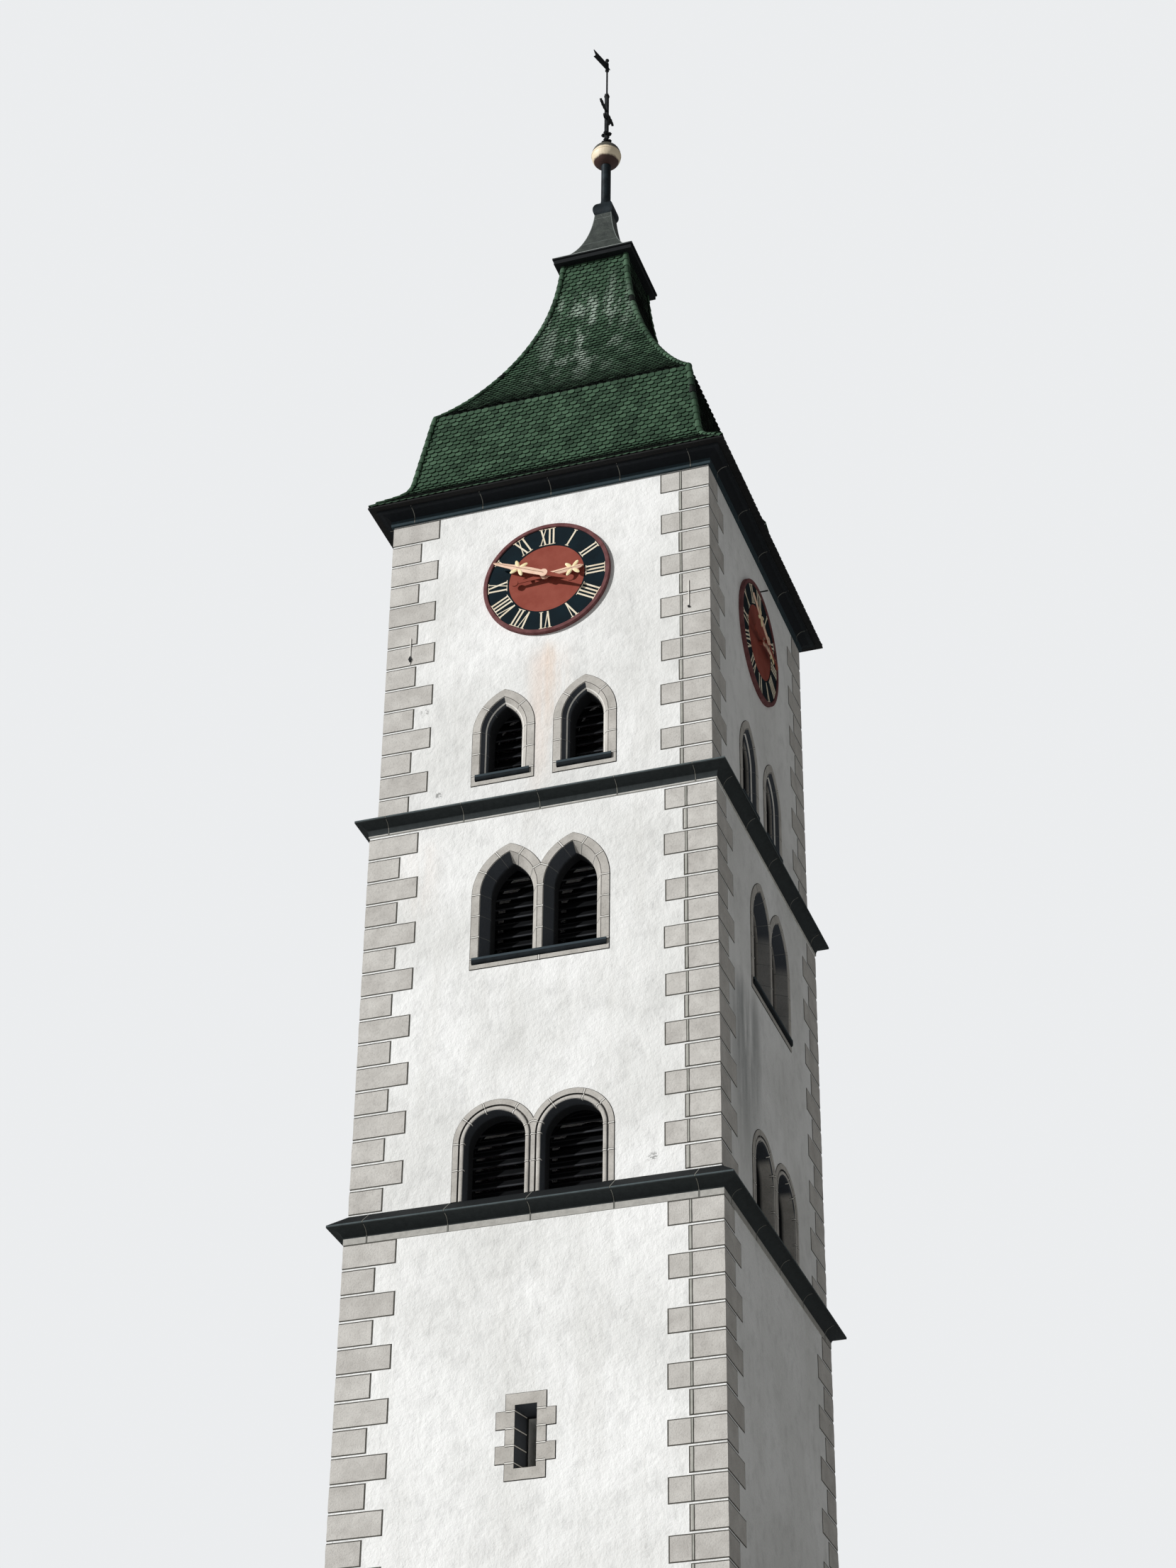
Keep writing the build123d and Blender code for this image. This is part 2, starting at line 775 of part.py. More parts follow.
upper_sill_head = clock_foot + upper_sill_top
upper_head = clock_foot + upper_spring + arch_rise(upper_half, upper_arch_shift)
upper_run = upper_half + upper_sill_overhang
upper_surrounds = []
sills = []
louvres = []
for middle in upper_middles:
    upper_foot = upper_sill_top - sill_height
    upper_steps = [
        (upper_light(0, upper_foot, middle), 0),
        (upper_light(-upper_hollow, upper_foot, middle), upper_hollow_depth),
        (upper_light(-upper_inset, upper_foot, middle), upper_hollow_depth + upper_bevel_depth),
    ]
    upper_surrounds.append(surround(
        clock_half,
        [upper_light(upper_stone, upper_stone_foot, middle)],
        [upper_steps],
        block_outline(upper_run, upper_sill_head - sill_height, upper_sill_head, middle),
    ))
    sills.append(sill(clock_half, middle, upper_run, upper_sill_head))
    louvres.append(louvre(
        clock_half,
        upper_light,
        upper_inset,
        upper_sill_top,
        middle,
        upper_half,
        upper_sill_head,
        upper_head,
    ))
keep(on_all_sides(upper_surrounds), "clock_stage_window_surrounds")

twin_sill_head = belfry_foot + twin_sill_top
twin_head = belfry_foot + twin_spring + arch_rise(twin_half, twin_arch_shift)
twin_run = twin_spacing + twin_half + twin_sill_overhang
twin_steps = []
for middle in twin_middles:
    twin_foot = twin_sill_top - sill_height
    twin_steps.append([
        (twin_light(0, twin_foot, middle), 0),
        (twin_light(-twin_splay, twin_foot, middle), twin_splay_depth),
    ])
    louvres.append(louvre(
        belfry_half,
        twin_light,
        twin_splay,
        twin_sill_top,
        middle,
        twin_half,
        twin_sill_head,
        twin_head,
    ))
twin_surround = surround(
    belfry_half,
    [twin_light(twin_stone, twin_stone_foot, middle) for middle in twin_middles] + [twin_infill],
    twin_steps,
    block_outline(twin_run, twin_sill_head - sill_height, twin_sill_head, twin_middle),
)
keep(on_all_sides([twin_surround]), "belfry_pointed_window_surrounds")
sills.append(sill(belfry_half, twin_middle, twin_run, twin_sill_head))

# The round windows have a roll round each opening, between a bevelled edge and a groove
round_foot = belfry_foot + lower_cornice_head
round_head = belfry_foot + round_spring + round_half
round_steps = []
for middle in round_middles:
    round_steps.append([
        (arched_light(roll_edge, lower_cornice_head, middle), 0),
        (arched_light(0.4 * roll_edge, lower_cornice_head, middle), roll_shoulder),
        (arched_light(0, lower_cornice_head, middle), roll_edge),
    ])
    louvres.append(louvre(
        belfry_half,
        arched_light,
        0,
        lower_cornice_head,
        middle,
        round_half + louvre_seat,
        round_foot,
        round_head + louvre_seat,
    ))
round_surround = surround(
    belfry_half,
    [arched_light(round_stone, lower_cornice_head, middle) for middle in round_middles] + [round_infill],
    round_steps,
    None,
)
with BuildPart() as round_stones:
    add(round_surround)
    for middle in round_middles:
        with BuildPart(mode=Mode.PRIVATE) as groove:
            with BuildSketch(side_plane("front", belfry_half + stone_proud)):
                add(arched_light(round_roll + groove_width, lower_cornice_head, middle))
            extrude(amount=-roll_edge)
            add(taper(belfry_half, [
                (arched_light(round_roll - roll_edge, lower_cornice_head, middle), 0),
                (arched_light(round_roll - 0.4 * roll_edge, lower_cornice_head, middle), roll_shoulder),
                (arched_light(round_roll, lower_cornice_head, middle), roll_edge),
            ]), mode=Mode.SUBTRACT)
        add(groove.part, mode=Mode.SUBTRACT)
keep(on_all_sides([round_stones.part]), "belfry_round_window_surrounds")
keep(on_all_sides(sills), "window_sills")
keep(on_all_sides(louvres), "window_louvres")

# Slit window stones with a splayed opening, at the front and the back
with BuildPart() as slit_surrounds:
    for head in slit_heads:
        stone_face = side_plane("front", shaft_half + stone_proud)
        splay_end = side_plane("front", shaft_half - slit_splay)
        with BuildSketch(stone_face):
            add(slit_stones(head))
        extrude(amount=-(slit_stone_depth + stone_proud))
        with BuildSketch(stone_face):
            add(block_outline(slit_half, head - slit_height, head))
        with BuildSketch(splay_end):
            add(slit_inner(head))
        loft(mode=Mode.SUBTRACT)
        with BuildSketch(splay_end):
            add(slit_inner(head))
        extrude(amount=-(slit_stone_depth - slit_splay), mode=Mode.SUBTRACT)
    mirror(about=Plane.XZ)
keep(slit_surrounds.part, "shaft_slit_surrounds")

# Doorway stones and a plank door that closes against their rebate
with BuildPart() as door_surround:
    with BuildSketch(side_plane("front", shaft_half + stone_proud)):
        add(doorway(door_stone))
        add(doorway(0), mode=Mode.SUBTRACT)
    extrude(amount=-(door_reveal + stone_proud))
keep(door_surround.part, "door_surround")
with BuildPart() as door:
    with BuildSketch(side_plane("front", shaft_half - door_reveal)):
        add(doorway(door_rebate - door_gap))
    extrude(amount=-door_thickness)
    with BuildSketch(Plane.XY):
        Rectangle(4 * shaft_half, 4 * shaft_half)
    extrude(amount=door_gap, mode=Mode.SUBTRACT)
keep(door.part, "door")

# Clock dials: a plate with the arbor of its hands, inside a raised ring
dial_plane = side_plane("front", clock_half)
with BuildPart() as dial_plate:
    with BuildSketch(dial_plane):
        with Locations((0, dial_level)):
            Circle(dial_radius)
    extrude(amount=plate_depth)
    with BuildSketch(dial_plane):
        with Locations((0, dial_level)):
            Circle(arbor_shoulder)
    extrude(amount=hour_plane - seat_gap)
    with BuildSketch(dial_plane):
        with Locations((0, dial_level)):
            Circle(arbor_radius)
    extrude(amount=minute_plane + minute_bore - seat_gap)
keep(on_all_sides([dial_plate.part]), "dial_plates")
with BuildPart() as dial_surround:
    with BuildSketch(dial_plane):
        with Locations((0, dial_level)):
            Circle(dial_radius + dial_ring)
            Circle(dial_radius, mode=Mode.SUBTRACT)
    extrude(amount=ring_depth)
    rim = dial_surround.faces().filter_by(Axis.Y).sort_by(Axis.Y)[0].edges()
    fillet(rim, 0.2 * dial_ring)
keep(on_all_sides([dial_surround.part]), "dial_rings")


# A clock hand drawn pointing up: tapering blade, round hub, a flower of four lobes, and a slender tail
# that ends in a round counterweight
def hand_outline(length, width, tip, flower):
    with BuildSketch() as outline:
        with BuildLine():
            Polyline(
                (-tail_width / 2, -tail_length),
                (tail_width / 2, -tail_length),
                (width / 2, 0),
                (tip / 2, length - tip),
                (0, length),
                (-tip / 2, length - tip),
                (-width / 2, 0),
                (-tail_width / 2, -tail_length),
            )
        make_face()
        Circle(hub_radius)
        with Locations((0, -tail_length)):
            Circle(weight_radius)
        for way in (-lobe_spread, lobe_spread):
            with Locations((way, flower - lobe_lift), (way, flower + lobe_lift)):
                Circle(lobe_radius)
        for rise in (-lobe_lift, lobe_lift):
            with Locations((0, flower + rise)):
                Rectangle(2 * lobe_spread, lobe_bar)
    return outline.sketch


def hand(side, angle, outline, plane_depth, boss_end, bore_end):
    turned = outline.rotate(Axis.Z, -angle).moved(Location((0, dial_level, 0)))
    hand_plane = side_plane(side, clock_half + plane_depth)
    with BuildPart() as blade:
        with BuildSketch(hand_plane):
            add(turned)
        extrude(amount=hand_thickness)
        with BuildSketch(hand_plane):
            with Locations((0, dial_level)):
                Circle(hub_radius)
        extrude(amount=boss_end)
        with BuildSketch(hand_plane):
            with Locations((0, dial_level)):
                Circle(arbor_radius + running_gap)
        extrude(amount=bore_end, mode=Mode.SUBTRACT)
    return blade.part


hour_outline = hand_outline(hour_length, hour_width, hour_tip, hour_flower)
minute_outline = hand_outline(minute_length, minute_width, minute_tip, minute_flower)
hour_boss = minute_plane - hour_plane - seat_gap
for side in sides:
    hour_hand = hand(side, hour_angle, hour_outline, hour_plane, hour_boss, hour_boss)
    minute_hand = hand(side, minute_angle, minute_outline, minute_plane, minute_boss, minute_bore)
    keep(hour_hand, f"hour_hand_{side}")
    keep(minute_hand, f"minute_hand_{side}")

# Plinth round the foot of the shaft, with a sloping top, open at the doorway
plinth_half = shaft_half + plinth_reach
with BuildSketch() as plinth_outline:
    with BuildLine():
        Polyline(
            (0, 0),
            (plinth_half, 0),
            (plinth_half, plinth_height - plinth_slope),
            (shaft_half, plinth_height),
            (0, plinth_height),
            (0, 0),
        )
    make_face()
with BuildPart() as plinth:
    add(square_ring(plinth_outline.sketch, shaft_half))
    with BuildSketch(side_plane("front", shaft_half)):
        add(doorway(door_stone))
    extrude(amount=2 * plinth_reach, mode=Mode.SUBTRACT)
keep(plinth.part, "plinth")
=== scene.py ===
import math
import random

import bmesh
import bpy
from mathutils import Matrix, Vector, noise
from mathutils.bvhtree import BVHTree


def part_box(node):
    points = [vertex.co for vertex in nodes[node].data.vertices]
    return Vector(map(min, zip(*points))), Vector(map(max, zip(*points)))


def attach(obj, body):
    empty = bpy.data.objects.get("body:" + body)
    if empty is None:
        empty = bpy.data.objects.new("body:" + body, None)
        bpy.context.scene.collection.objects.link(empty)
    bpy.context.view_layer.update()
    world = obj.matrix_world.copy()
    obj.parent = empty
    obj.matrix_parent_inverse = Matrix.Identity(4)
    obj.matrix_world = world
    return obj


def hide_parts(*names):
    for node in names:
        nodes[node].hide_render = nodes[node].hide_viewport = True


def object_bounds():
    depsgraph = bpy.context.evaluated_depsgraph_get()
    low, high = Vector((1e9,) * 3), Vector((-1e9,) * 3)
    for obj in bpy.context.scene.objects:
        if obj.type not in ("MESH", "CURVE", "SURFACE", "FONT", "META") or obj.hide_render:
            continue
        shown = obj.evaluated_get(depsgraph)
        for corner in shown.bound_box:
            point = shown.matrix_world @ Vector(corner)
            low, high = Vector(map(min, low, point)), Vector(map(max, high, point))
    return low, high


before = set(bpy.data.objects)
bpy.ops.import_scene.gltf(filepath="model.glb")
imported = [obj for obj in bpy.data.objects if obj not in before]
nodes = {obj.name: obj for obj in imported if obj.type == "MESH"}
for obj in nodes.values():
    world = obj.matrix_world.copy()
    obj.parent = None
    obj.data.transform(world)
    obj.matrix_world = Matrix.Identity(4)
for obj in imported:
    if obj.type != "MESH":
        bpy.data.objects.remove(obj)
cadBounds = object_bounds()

random.seed(7)
sideTurns = {"front": 0, "right": 90, "back": 180, "left": 270}  # degrees round the tower from the front
light = {"sun": 3.8, "softness": 2.0, "azimuth": -46.0, "elevation": 22.0, "world": 0.16, "backdrop": 0.86,
         "sky": (0.97, 0.985, 1, 1)}
azimuth, elevation = math.radians(light["azimuth"]), math.radians(light["elevation"])
towardSun = (math.sin(azimuth) * math.cos(elevation), -math.cos(azimuth) * math.cos(elevation),
             math.sin(elevation))


# Basics: colours, sides and meshes

def paint(red, green, blue):  # a colour as seen on screen, 0 to 255, as the linear values that shaders take
    def channel(value):
        value = value / 255
        return value / 12.92 if value < 0.04045 else ((value + 0.055) / 1.055) ** 2.4
    return (channel(red), channel(green), channel(blue), 1.0)


def grey(value):
    return (value, value, value, 1)


def spin(u, v, angle):  # a point turned about the middle
    cos, sin = math.cos(angle), math.sin(angle)
    return u * cos - v * sin, u * sin + v * cos


def sidePlace(side, half):  # u to the right as seen from outside, v up, w out from the wall
    turn = math.radians(sideTurns[side])
    right = Vector((math.cos(turn), math.sin(turn), 0))
    out = Vector((math.sin(turn), -math.cos(turn), 0))
    return lambda u, v, w: right * u + out * (half + w) + Vector((0, 0, v))


def newMesh():
    return {"points": [], "faces": [], "shades": []}


def addFaces(mesh, points, faces, shade=0.5):
    start = len(mesh["points"])
    mesh["points"].extend(tuple(point) for point in points)
    mesh["faces"].extend(tuple(start + index for index in face) for face in faces)
    mesh["shades"].extend([shade] * len(faces))


def addRings(mesh, rings, closed=False):  # rings with the same number of points, each joined to the next
    count, total = len(rings[0]), len(rings)
    last = count * (total - 1)
    faces = [] if closed else [tuple(range(count - 1, -1, -1)), tuple(range(last, last + count))]
    for row in range(total if closed else total - 1):
        near, far = row * count, (row + 1) % total * count
        for step in range(count):
            after = (step + 1) % count
            faces.append((near + step, near + after, far + after, far + step))
    addFaces(mesh, [point for ring in rings for point in ring], faces)


def addPrism(mesh, place, outline, low, high):  # outline runs anticlockwise as seen from outside
    addRings(mesh, [[place(u, v, w) for u, v in outline] for w in (low, high)])


def addSheet(mesh, place, first, second, firstOut, secondOut, thick, closed=False):
    addRings(mesh, [[place(*near, firstOut), place(*far, secondOut), place(*far, secondOut - thick),
                     place(*near, firstOut - thick)]  # a thin strip between two lines
                    for near, far in zip(first, second)], closed)


def circlePoints(radius, count, middleU=0.0, middleV=0.0):
    return [(middleU + radius * math.cos(2 * math.pi * step / count),
             middleV + radius * math.sin(2 * math.pi * step / count)) for step in range(count)]


def rectangle(left, foot, right, head):
    return [(left, foot), (right, foot), (right, head), (left, head)]


def makePiece(name, mesh, look, body="tower", outwards=True):
    data = bpy.data.meshes.new(name)
    data.from_pydata(mesh["points"], [], mesh["faces"])
    layer = data.attributes.new("shade", "FLOAT", "FACE")  # one number for each tile or stone
    layer.data.foreach_set("value", mesh["shades"])
    data.materials.append(looks[look])
    if outwards:  # strips of any direction get their faces turned outwards
        work = bmesh.new()
        work.from_mesh(data)
        bmesh.ops.recalc_face_normals(work, faces=work.faces)
        work.to_mesh(data)
        work.free()
    data.update()
    piece = bpy.data.objects.new(name, data)
    bpy.context.scene.collection.objects.link(piece)
    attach(piece, body)
    return piece


# Materials

def newMaterial(name, roughness, metal=0.0, specular=0.5):
    material = bpy.data.materials.new(name)
    material.use_nodes = True
    shader = material.node_tree.nodes["Principled BSDF"]
    shader.inputs["Roughness"].default_value = roughness
    shader.inputs["Metallic"].default_value = metal
    shader.inputs["Specular IOR Level"].default_value = specular
    return material, material.node_tree


def addNode(tree, kind, inputs, **settings):  # an input is a plain value or another node's socket
    node = tree.nodes.new(kind)
    for key, value in settings.items():
        setattr(node, key, value)
    for key, value in inputs.items():
        if isinstance(value, bpy.types.NodeSocket):
            tree.links.new(value, node.inputs[key])
        elif value is not None:
            node.inputs[key].default_value = value
    return node


def finishLook(material, body, *reliefs):  # the colour, and layers of relief, each as (height, distance)
    tree = material.node_tree
    shader = tree.nodes["Principled BSDF"]
    tree.links.new(body, shader.inputs["Base Color"])
    normal = None
    for height, distance in reliefs:
        bump = {"Height": height, "Distance": distance, "Normal": normal}
        normal = addNode(tree, "ShaderNodeBump", bump).outputs["Normal"]
    if normal:
        tree.links.new(normal, shader.inputs["Normal"])
    return material


def noiseOf(tree, scale, detail=4.0, rough=0.55, stretch=(1, 1, 1)):
    point = addNode(tree, "ShaderNodeTexCoord", {}).outputs["Object"]
    mapped = addNode(tree, "ShaderNodeMapping", {"Vector": point, "Scale": stretch}).outputs["Vector"]
    inputs = {"Vector": mapped, "Scale": scale, "Detail": detail, "Roughness": rough}
    return addNode(tree, "ShaderNodeTexNoise", inputs).outputs["Fac"]


def ramp(source, *stops):  # stops are (place, colour)
    node = addNode(source.id_data, "ShaderNodeValToRGB", {"Fac": source})
    elements = node.color_ramp.elements
    elements[0].position, elements[0].color = stops[0]
    elements[1].position, elements[1].color = stops[-1]
    for place, colour in stops[1:-1]:
        elements.new(place).color = colour
    return node.outputs["Color"]


def mixColour(share, first, second, blend="MIX"):
    inputs = {0: share, 6: first, 7: second}
    tree = next(value.id_data for value in inputs.values() if isinstance(value, bpy.types.NodeSocket))
    return addNode(tree, "ShaderNodeMix", inputs, data_type="RGBA", blend_type=blend).outputs[2]


def mathNode(operation, first, second=None):
    return addNode(first.id_data, "ShaderNodeMath", {0: first, 1: second}, operation=operation).outputs[0]


def product(first, *others):
    for other in others:
        first = mathNode("MULTIPLY", first, other)
    return first


def awayFrom(value, middle):
    return mathNode("ABSOLUTE", mathNode("SUBTRACT", value, middle))


def fade(value, low, high):  # 0 up to the low value and 1 from the high one, or the other way round
    inputs = {"Value": value, "From Min": min(low, high), "From Max": max(low, high)}
    if low > high:
        inputs.update({"To Min": 1.0, "To Max": 0.0})
    node = addNode(value.id_data, "ShaderNodeMapRange", inputs, interpolation_type="SMOOTHSTEP")
    return node.outputs["Result"]


def placeParts(tree, kind="Object"):  # X, Y and Z of the point in the shared frame, or of the face's direction
    coords = addNode(tree, "ShaderNodeTexCoord", {})
    return addNode(tree, "ShaderNodeSeparateXYZ", {0: coords.outputs[kind]}).outputs


def sideways(tree, operation):  # the point's distances from the two middle planes, taken together
    x, y, z = placeParts(tree)
    return mathNode(operation, mathNode("ABSOLUTE", x), mathNode("ABSOLUTE", y))


def shadeOf(tree):
    return addNode(tree, "ShaderNodeAttribute", {}, attribute_name="shade").outputs["Fac"]


plasterLook = {"white": paint(239, 239, 237), "grey": paint(223, 223, 220), "streak": paint(206, 205, 200),
               "chip": paint(140, 140, 138), "lumps": 0.014, "dents": 0.006, "grain": 0.0016,
               "chipShare": 0.85, "wall": (1.4, 1.5)}  # a spot is on a side where the wall is this far out
stains = [  # side, middle and half width across, top and bottom, colour, share
    ("front", 0.06, 0.13, 19.75, 17.7, (212, 186, 160), 0.75),
    ("front", 0.05, 0.34, 19.7, 17.2, (228, 210, 197), 0.8),
    ("front", -1.25, 0.3, 17.5, 16.2, (232, 216, 204), 0.45),
    ("right", -0.9, 0.8, 15.9, 13.4, (128, 132, 132), 0.8),
    ("right", 0.6, 0.9, 10.2, 6.0, (120, 126, 126), 0.7)]
scars = [(-1.3, 19.02, 0.06), (-1.12, 17.98, 0.07), (1.33, 12.0, 0.10), (-1.3, 18.2, 0.05),
         (1.16, 13.6, 0.07)]  # on the front: place across, level and size


def plasterMaterial():
    material, tree = newMaterial("limePlaster", 0.92)
    patches, grain = noiseOf(tree, 0.9, 6.0), noiseOf(tree, 90.0, 3.0)
    lumps, dents = noiseOf(tree, 7.0, 5.0, 0.62, (1, 1, 0.8)), noiseOf(tree, 26.0, 4.0, 0.6)
    streaks = noiseOf(tree, 3.5, 4.0, 0.6, (1, 1, 0.12))
    body = ramp(patches, (0.35, plasterLook["grey"]), (0.6, plasterLook["white"]))
    body = mixColour(0.5, body, ramp(lumps, (0.34, grey(0.8)), (0.5, grey(1))), "MULTIPLY")
    streakShare = ramp(streaks, (0.52, grey(0)), (0.78, grey(0.4)))
    body = mixColour(streakShare, body, plasterLook["streak"])
    x, y, z = placeParts(tree)
    near, far = plasterLook["wall"]
    broken = fade(streaks, 0.3, 0.62)
    for side, middle, half, top, bottom, colour, share in stains:
        across, out, way = {"front": (x, y, -1), "right": (y, x, 1)}[side]
        length = top - bottom
        amount = product(fade(awayFrom(across, middle), half, 0.0),
                         fade(z, bottom, bottom + 0.7 * length), fade(z, top, top - 0.15 * length),
                         fade(out, way * near, way * far), broken, share)
        body = mixColour(amount, body, paint(*colour))
    chips = fade(dents, 0.52, 0.46)
    for middle, level, size in scars:
        amount = product(fade(awayFrom(x, middle), size, 0.3 * size),
                         fade(awayFrom(z, level), 0.8 * size, 0.2 * size),
                         fade(y, -near, -far), chips, plasterLook["chipShare"])
        body = mixColour(amount, body, plasterLook["chip"])
    return finishLook(material, body, (lumps, plasterLook["lumps"]), (dents, plasterLook["dents"]),
                      (grain, plasterLook["grain"]))


# the reveals' painted shade: a dark blue-grey where the stone faces away from the sun, and near black deep inside
stoneLook = {"pale": paint(210, 207, 201), "dark": paint(178, 174, 168), "tooling": 0.005, "paintedShade": paint(40, 49, 60),
             "paintedDeepShade": paint(22, 24, 28), "paintedShadeShare": 0.94, "unlit": (-0.28, -0.06), "rim": (0.0055, 0.003)}
surroundLook = {"pale": paint(206, 202, 195), "dark": paint(170, 166, 159), "tooling": 0.003}


def addRevealShade(tree, body, half, depth):  # painted shade: near black deep inside the reveals, and dark blue-grey where the stone faces away from the sun
    out = sideways(tree, "MAXIMUM")
    turns = [mathNode("MULTIPLY", part, -share) for part, share in zip(placeParts(tree, "Normal"), towardSun)]
    turned = mathNode("ADD", mathNode("ADD", turns[0], turns[1]), turns[2])
    inside = fade(out, *(half + rim for rim in stoneLook["rim"]))
    share = product(fade(turned, *stoneLook["unlit"]), inside, stoneLook["paintedShadeShare"])
    body = mixColour(share, body, stoneLook["paintedShade"])
    return mixColour(fade(out, half - depth, half - depth - 0.04), body, stoneLook["paintedDeepShade"])


def stoneMaterial(name, look, half=None, depth=0.0):
    material, tree = newMaterial(name, 0.88)
    pits = noiseOf(tree, 60.0, 5.0, 0.7)
    body = ramp(noiseOf(tree, 5.0, 6.0, 0.62), (0.32, look["dark"]), (0.66, look["pale"]))
    body = mixColour(0.35, body, ramp(shadeOf(tree), (0.0, look["dark"]), (1.0, look["pale"])))
    body = mixColour(0.5, body, ramp(pits, (0.3, grey(0.55)), (0.5, grey(1))), "MULTIPLY")
    if half:
        body = addRevealShade(tree, body, half, depth)
    return finishLook(material, body, (pits, look["tooling"]))


def plainMaterial(name, first, second, roughness, scale, relief, metal=0.0, stretch=(1, 1, 1)):
    material, tree = newMaterial(name, roughness, metal, 0.2)
    body = ramp(noiseOf(tree, scale, 6.0, 0.6, stretch), (0.35, paint(*first)), (0.65, paint(*second)))
    return finishLook(material, body, (noiseOf(tree, scale * 9, 3.0, 0.6, stretch), relief))


def paintMaterial(name, first, second, scale):  # flat paint that hardly shines
    material, tree = newMaterial(name, 0.8, 0.0, 0.12)
    patches = noiseOf(tree, scale, 6.0, 0.6)
    body = ramp(patches, (0.35, paint(*first)), (0.65, paint(*second)))
    return finishLook(material, body, (patches, 0.0015))


# edge is painted shade: the near black of the tiles' rims and undersides
tileLook = {"edge": paint(4, 13, 7), "deep": paint(29, 51, 35), "green": paint(48, 75, 54),
            "pale": paint(76, 105, 81), "dampDeep": paint(28, 50, 34), "dampPale": paint(68, 95, 73),
            "lichen": paint(150, 166, 152)}


def tileMaterial(name, lichenShare):  # the edges of the tiles carry the number 0 and are painted near black, as painted shade under each tile
    material, tree = newMaterial(name, 0.7, 0.0, 0.25)
    streaks = noiseOf(tree, 5.5, 6.0, 0.7, (1, 1, 0.16))
    shade, z = shadeOf(tree), placeParts(tree)[2]
    body = ramp(shade, (0.1, tileLook["deep"]), (0.5, tileLook["green"]), (1.0, tileLook["pale"]))
    weathered = ramp(noiseOf(tree, 3.0, 5.0), (0.3, tileLook["dampDeep"]), (0.7, tileLook["dampPale"]))
    body = mixColour(0.4, body, weathered)
    spots = product(fade(streaks, 0.47, 0.6), fade(sideways(tree, "MINIMUM"), 0.75, 0.1),
                    fade(z, 23.3, 24.2), fade(z, 25.9, 25.2), lichenShare)
    body = mixColour(spots, body, tileLook["lichen"])
    # the rims and undersides are painted near black as shade
    body = mixColour(fade(shade, 0.05, 0.02), body, tileLook["edge"])
    return finishLook(material, body, (noiseOf(tree, 55.0, 4.0), 0.0015))


def layeredMaterial(name, levels):  # stone in levels, each from this height up and with a colour, with worn patches over it; some levels are painted shadow
    material, tree = newMaterial(name, 0.85, 0.0, 0.2)
    z = placeParts(tree)[2]
    body = paint(*levels[0][1])
    for level, colour in levels[1:]:
        body = mixColour(fade(z, level - 0.001, level + 0.001), body, paint(*colour))
    wear = ramp(noiseOf(tree, 18.0, 5.0, 0.65), (0.3, grey(0.6)), (0.6, grey(1)))
    return finishLook(material, mixColour(0.6, body, wear, "MULTIPLY"), (noiseOf(tree, 70.0, 4.0), 0.002))


sillLook = {"dark": paint(16, 20, 23), "pale": paint(30, 36, 40), "noseHighlight": paint(58, 68, 74)}


def sillMaterial(heads):  # near black stone with a painted highlight along the top, where the rounded nose catches the light
    material, tree = newMaterial("sillStone", 0.85, 0.0, 0.15)
    z = placeParts(tree)[2]
    wear = noiseOf(tree, 9.0, 5.0, 0.6)
    body = ramp(wear, (0.3, sillLook["dark"]), (0.7, sillLook["pale"]))
    for head in heads:
        # painted highlight: a pale band just under the top of each sill
        body = mixColour(fade(awayFrom(z, head - 0.006), 0.022, 0.014), body, sillLook["noseHighlight"])
    return finishLook(material, body, (wear, 0.004))


# edge is a painted highlight on the boards' front edges
louvreLook = {"board": paint(7, 8, 10), "edge": paint(92, 94, 98), "edgeHighlightShare": 0.42}


def louvreMaterial(*planes):  # near black boards with a painted highlight along their front edges, patchy along each board
    material, tree = newMaterial("louvreWood", 0.9, 0.0, 0.1)
    out, wear = sideways(tree, "MAXIMUM"), noiseOf(tree, 2.6, 1.0, 0.5, (1, 1, 2.5))
    edge = mathNode("MAXIMUM", *(fade(awayFrom(out, plane), 0.007, 0.004) for plane in planes))
    # the pale front edges are painted highlight
    share = product(edge, fade(wear, 0.3, 0.7), louvreLook["edgeHighlightShare"])
    return finishLook(material, mixColour(share, louvreLook["board"], louvreLook["edge"]))


spireletLook = {"dark": paint(38, 44, 42), "pale": paint(70, 76, 71), "hem": paint(138, 146, 142),
                "seams": (0.13, 0.36, 0.84)}


def spireletMaterial(foot):  # lead-grey sheet with pale hems on its hips, seams and foot
    material, tree = newMaterial("spireletSheet", 0.6, 0.2)
    patches, z = noiseOf(tree, 11.0, 6.0, 0.65), placeParts(tree)[2]
    body = ramp(patches, (0.3, spireletLook["dark"]), (0.7, spireletLook["pale"]))
    offHip = mathNode("ABSOLUTE", sideways(tree, "SUBTRACT"))
    line = mathNode("MAXIMUM", fade(offHip, 0.010, 0.006), fade(z, foot + 0.014, foot + 0.010))
    for seam in spireletLook["seams"]:
        near = fade(awayFrom(z, foot + seam), 0.006, 0.003)
        line = mathNode("MAXIMUM", line, mathNode("MULTIPLY", near, 0.5))
    body = mixColour(mathNode("MULTIPLY", line, 0.6), body, spireletLook["hem"])
    return finishLook(material, body, (patches, 0.01))


# the brown lower part is a painted reflection of the roof below in the gilding
orbLook = {"cap": paint(80, 78, 70), "cream": paint(236, 220, 192), "paintedRoofReflection": paint(60, 32, 24), "capLevel": 0.64,
           "reflectionLevel": 0.29, "blur": 0.03}


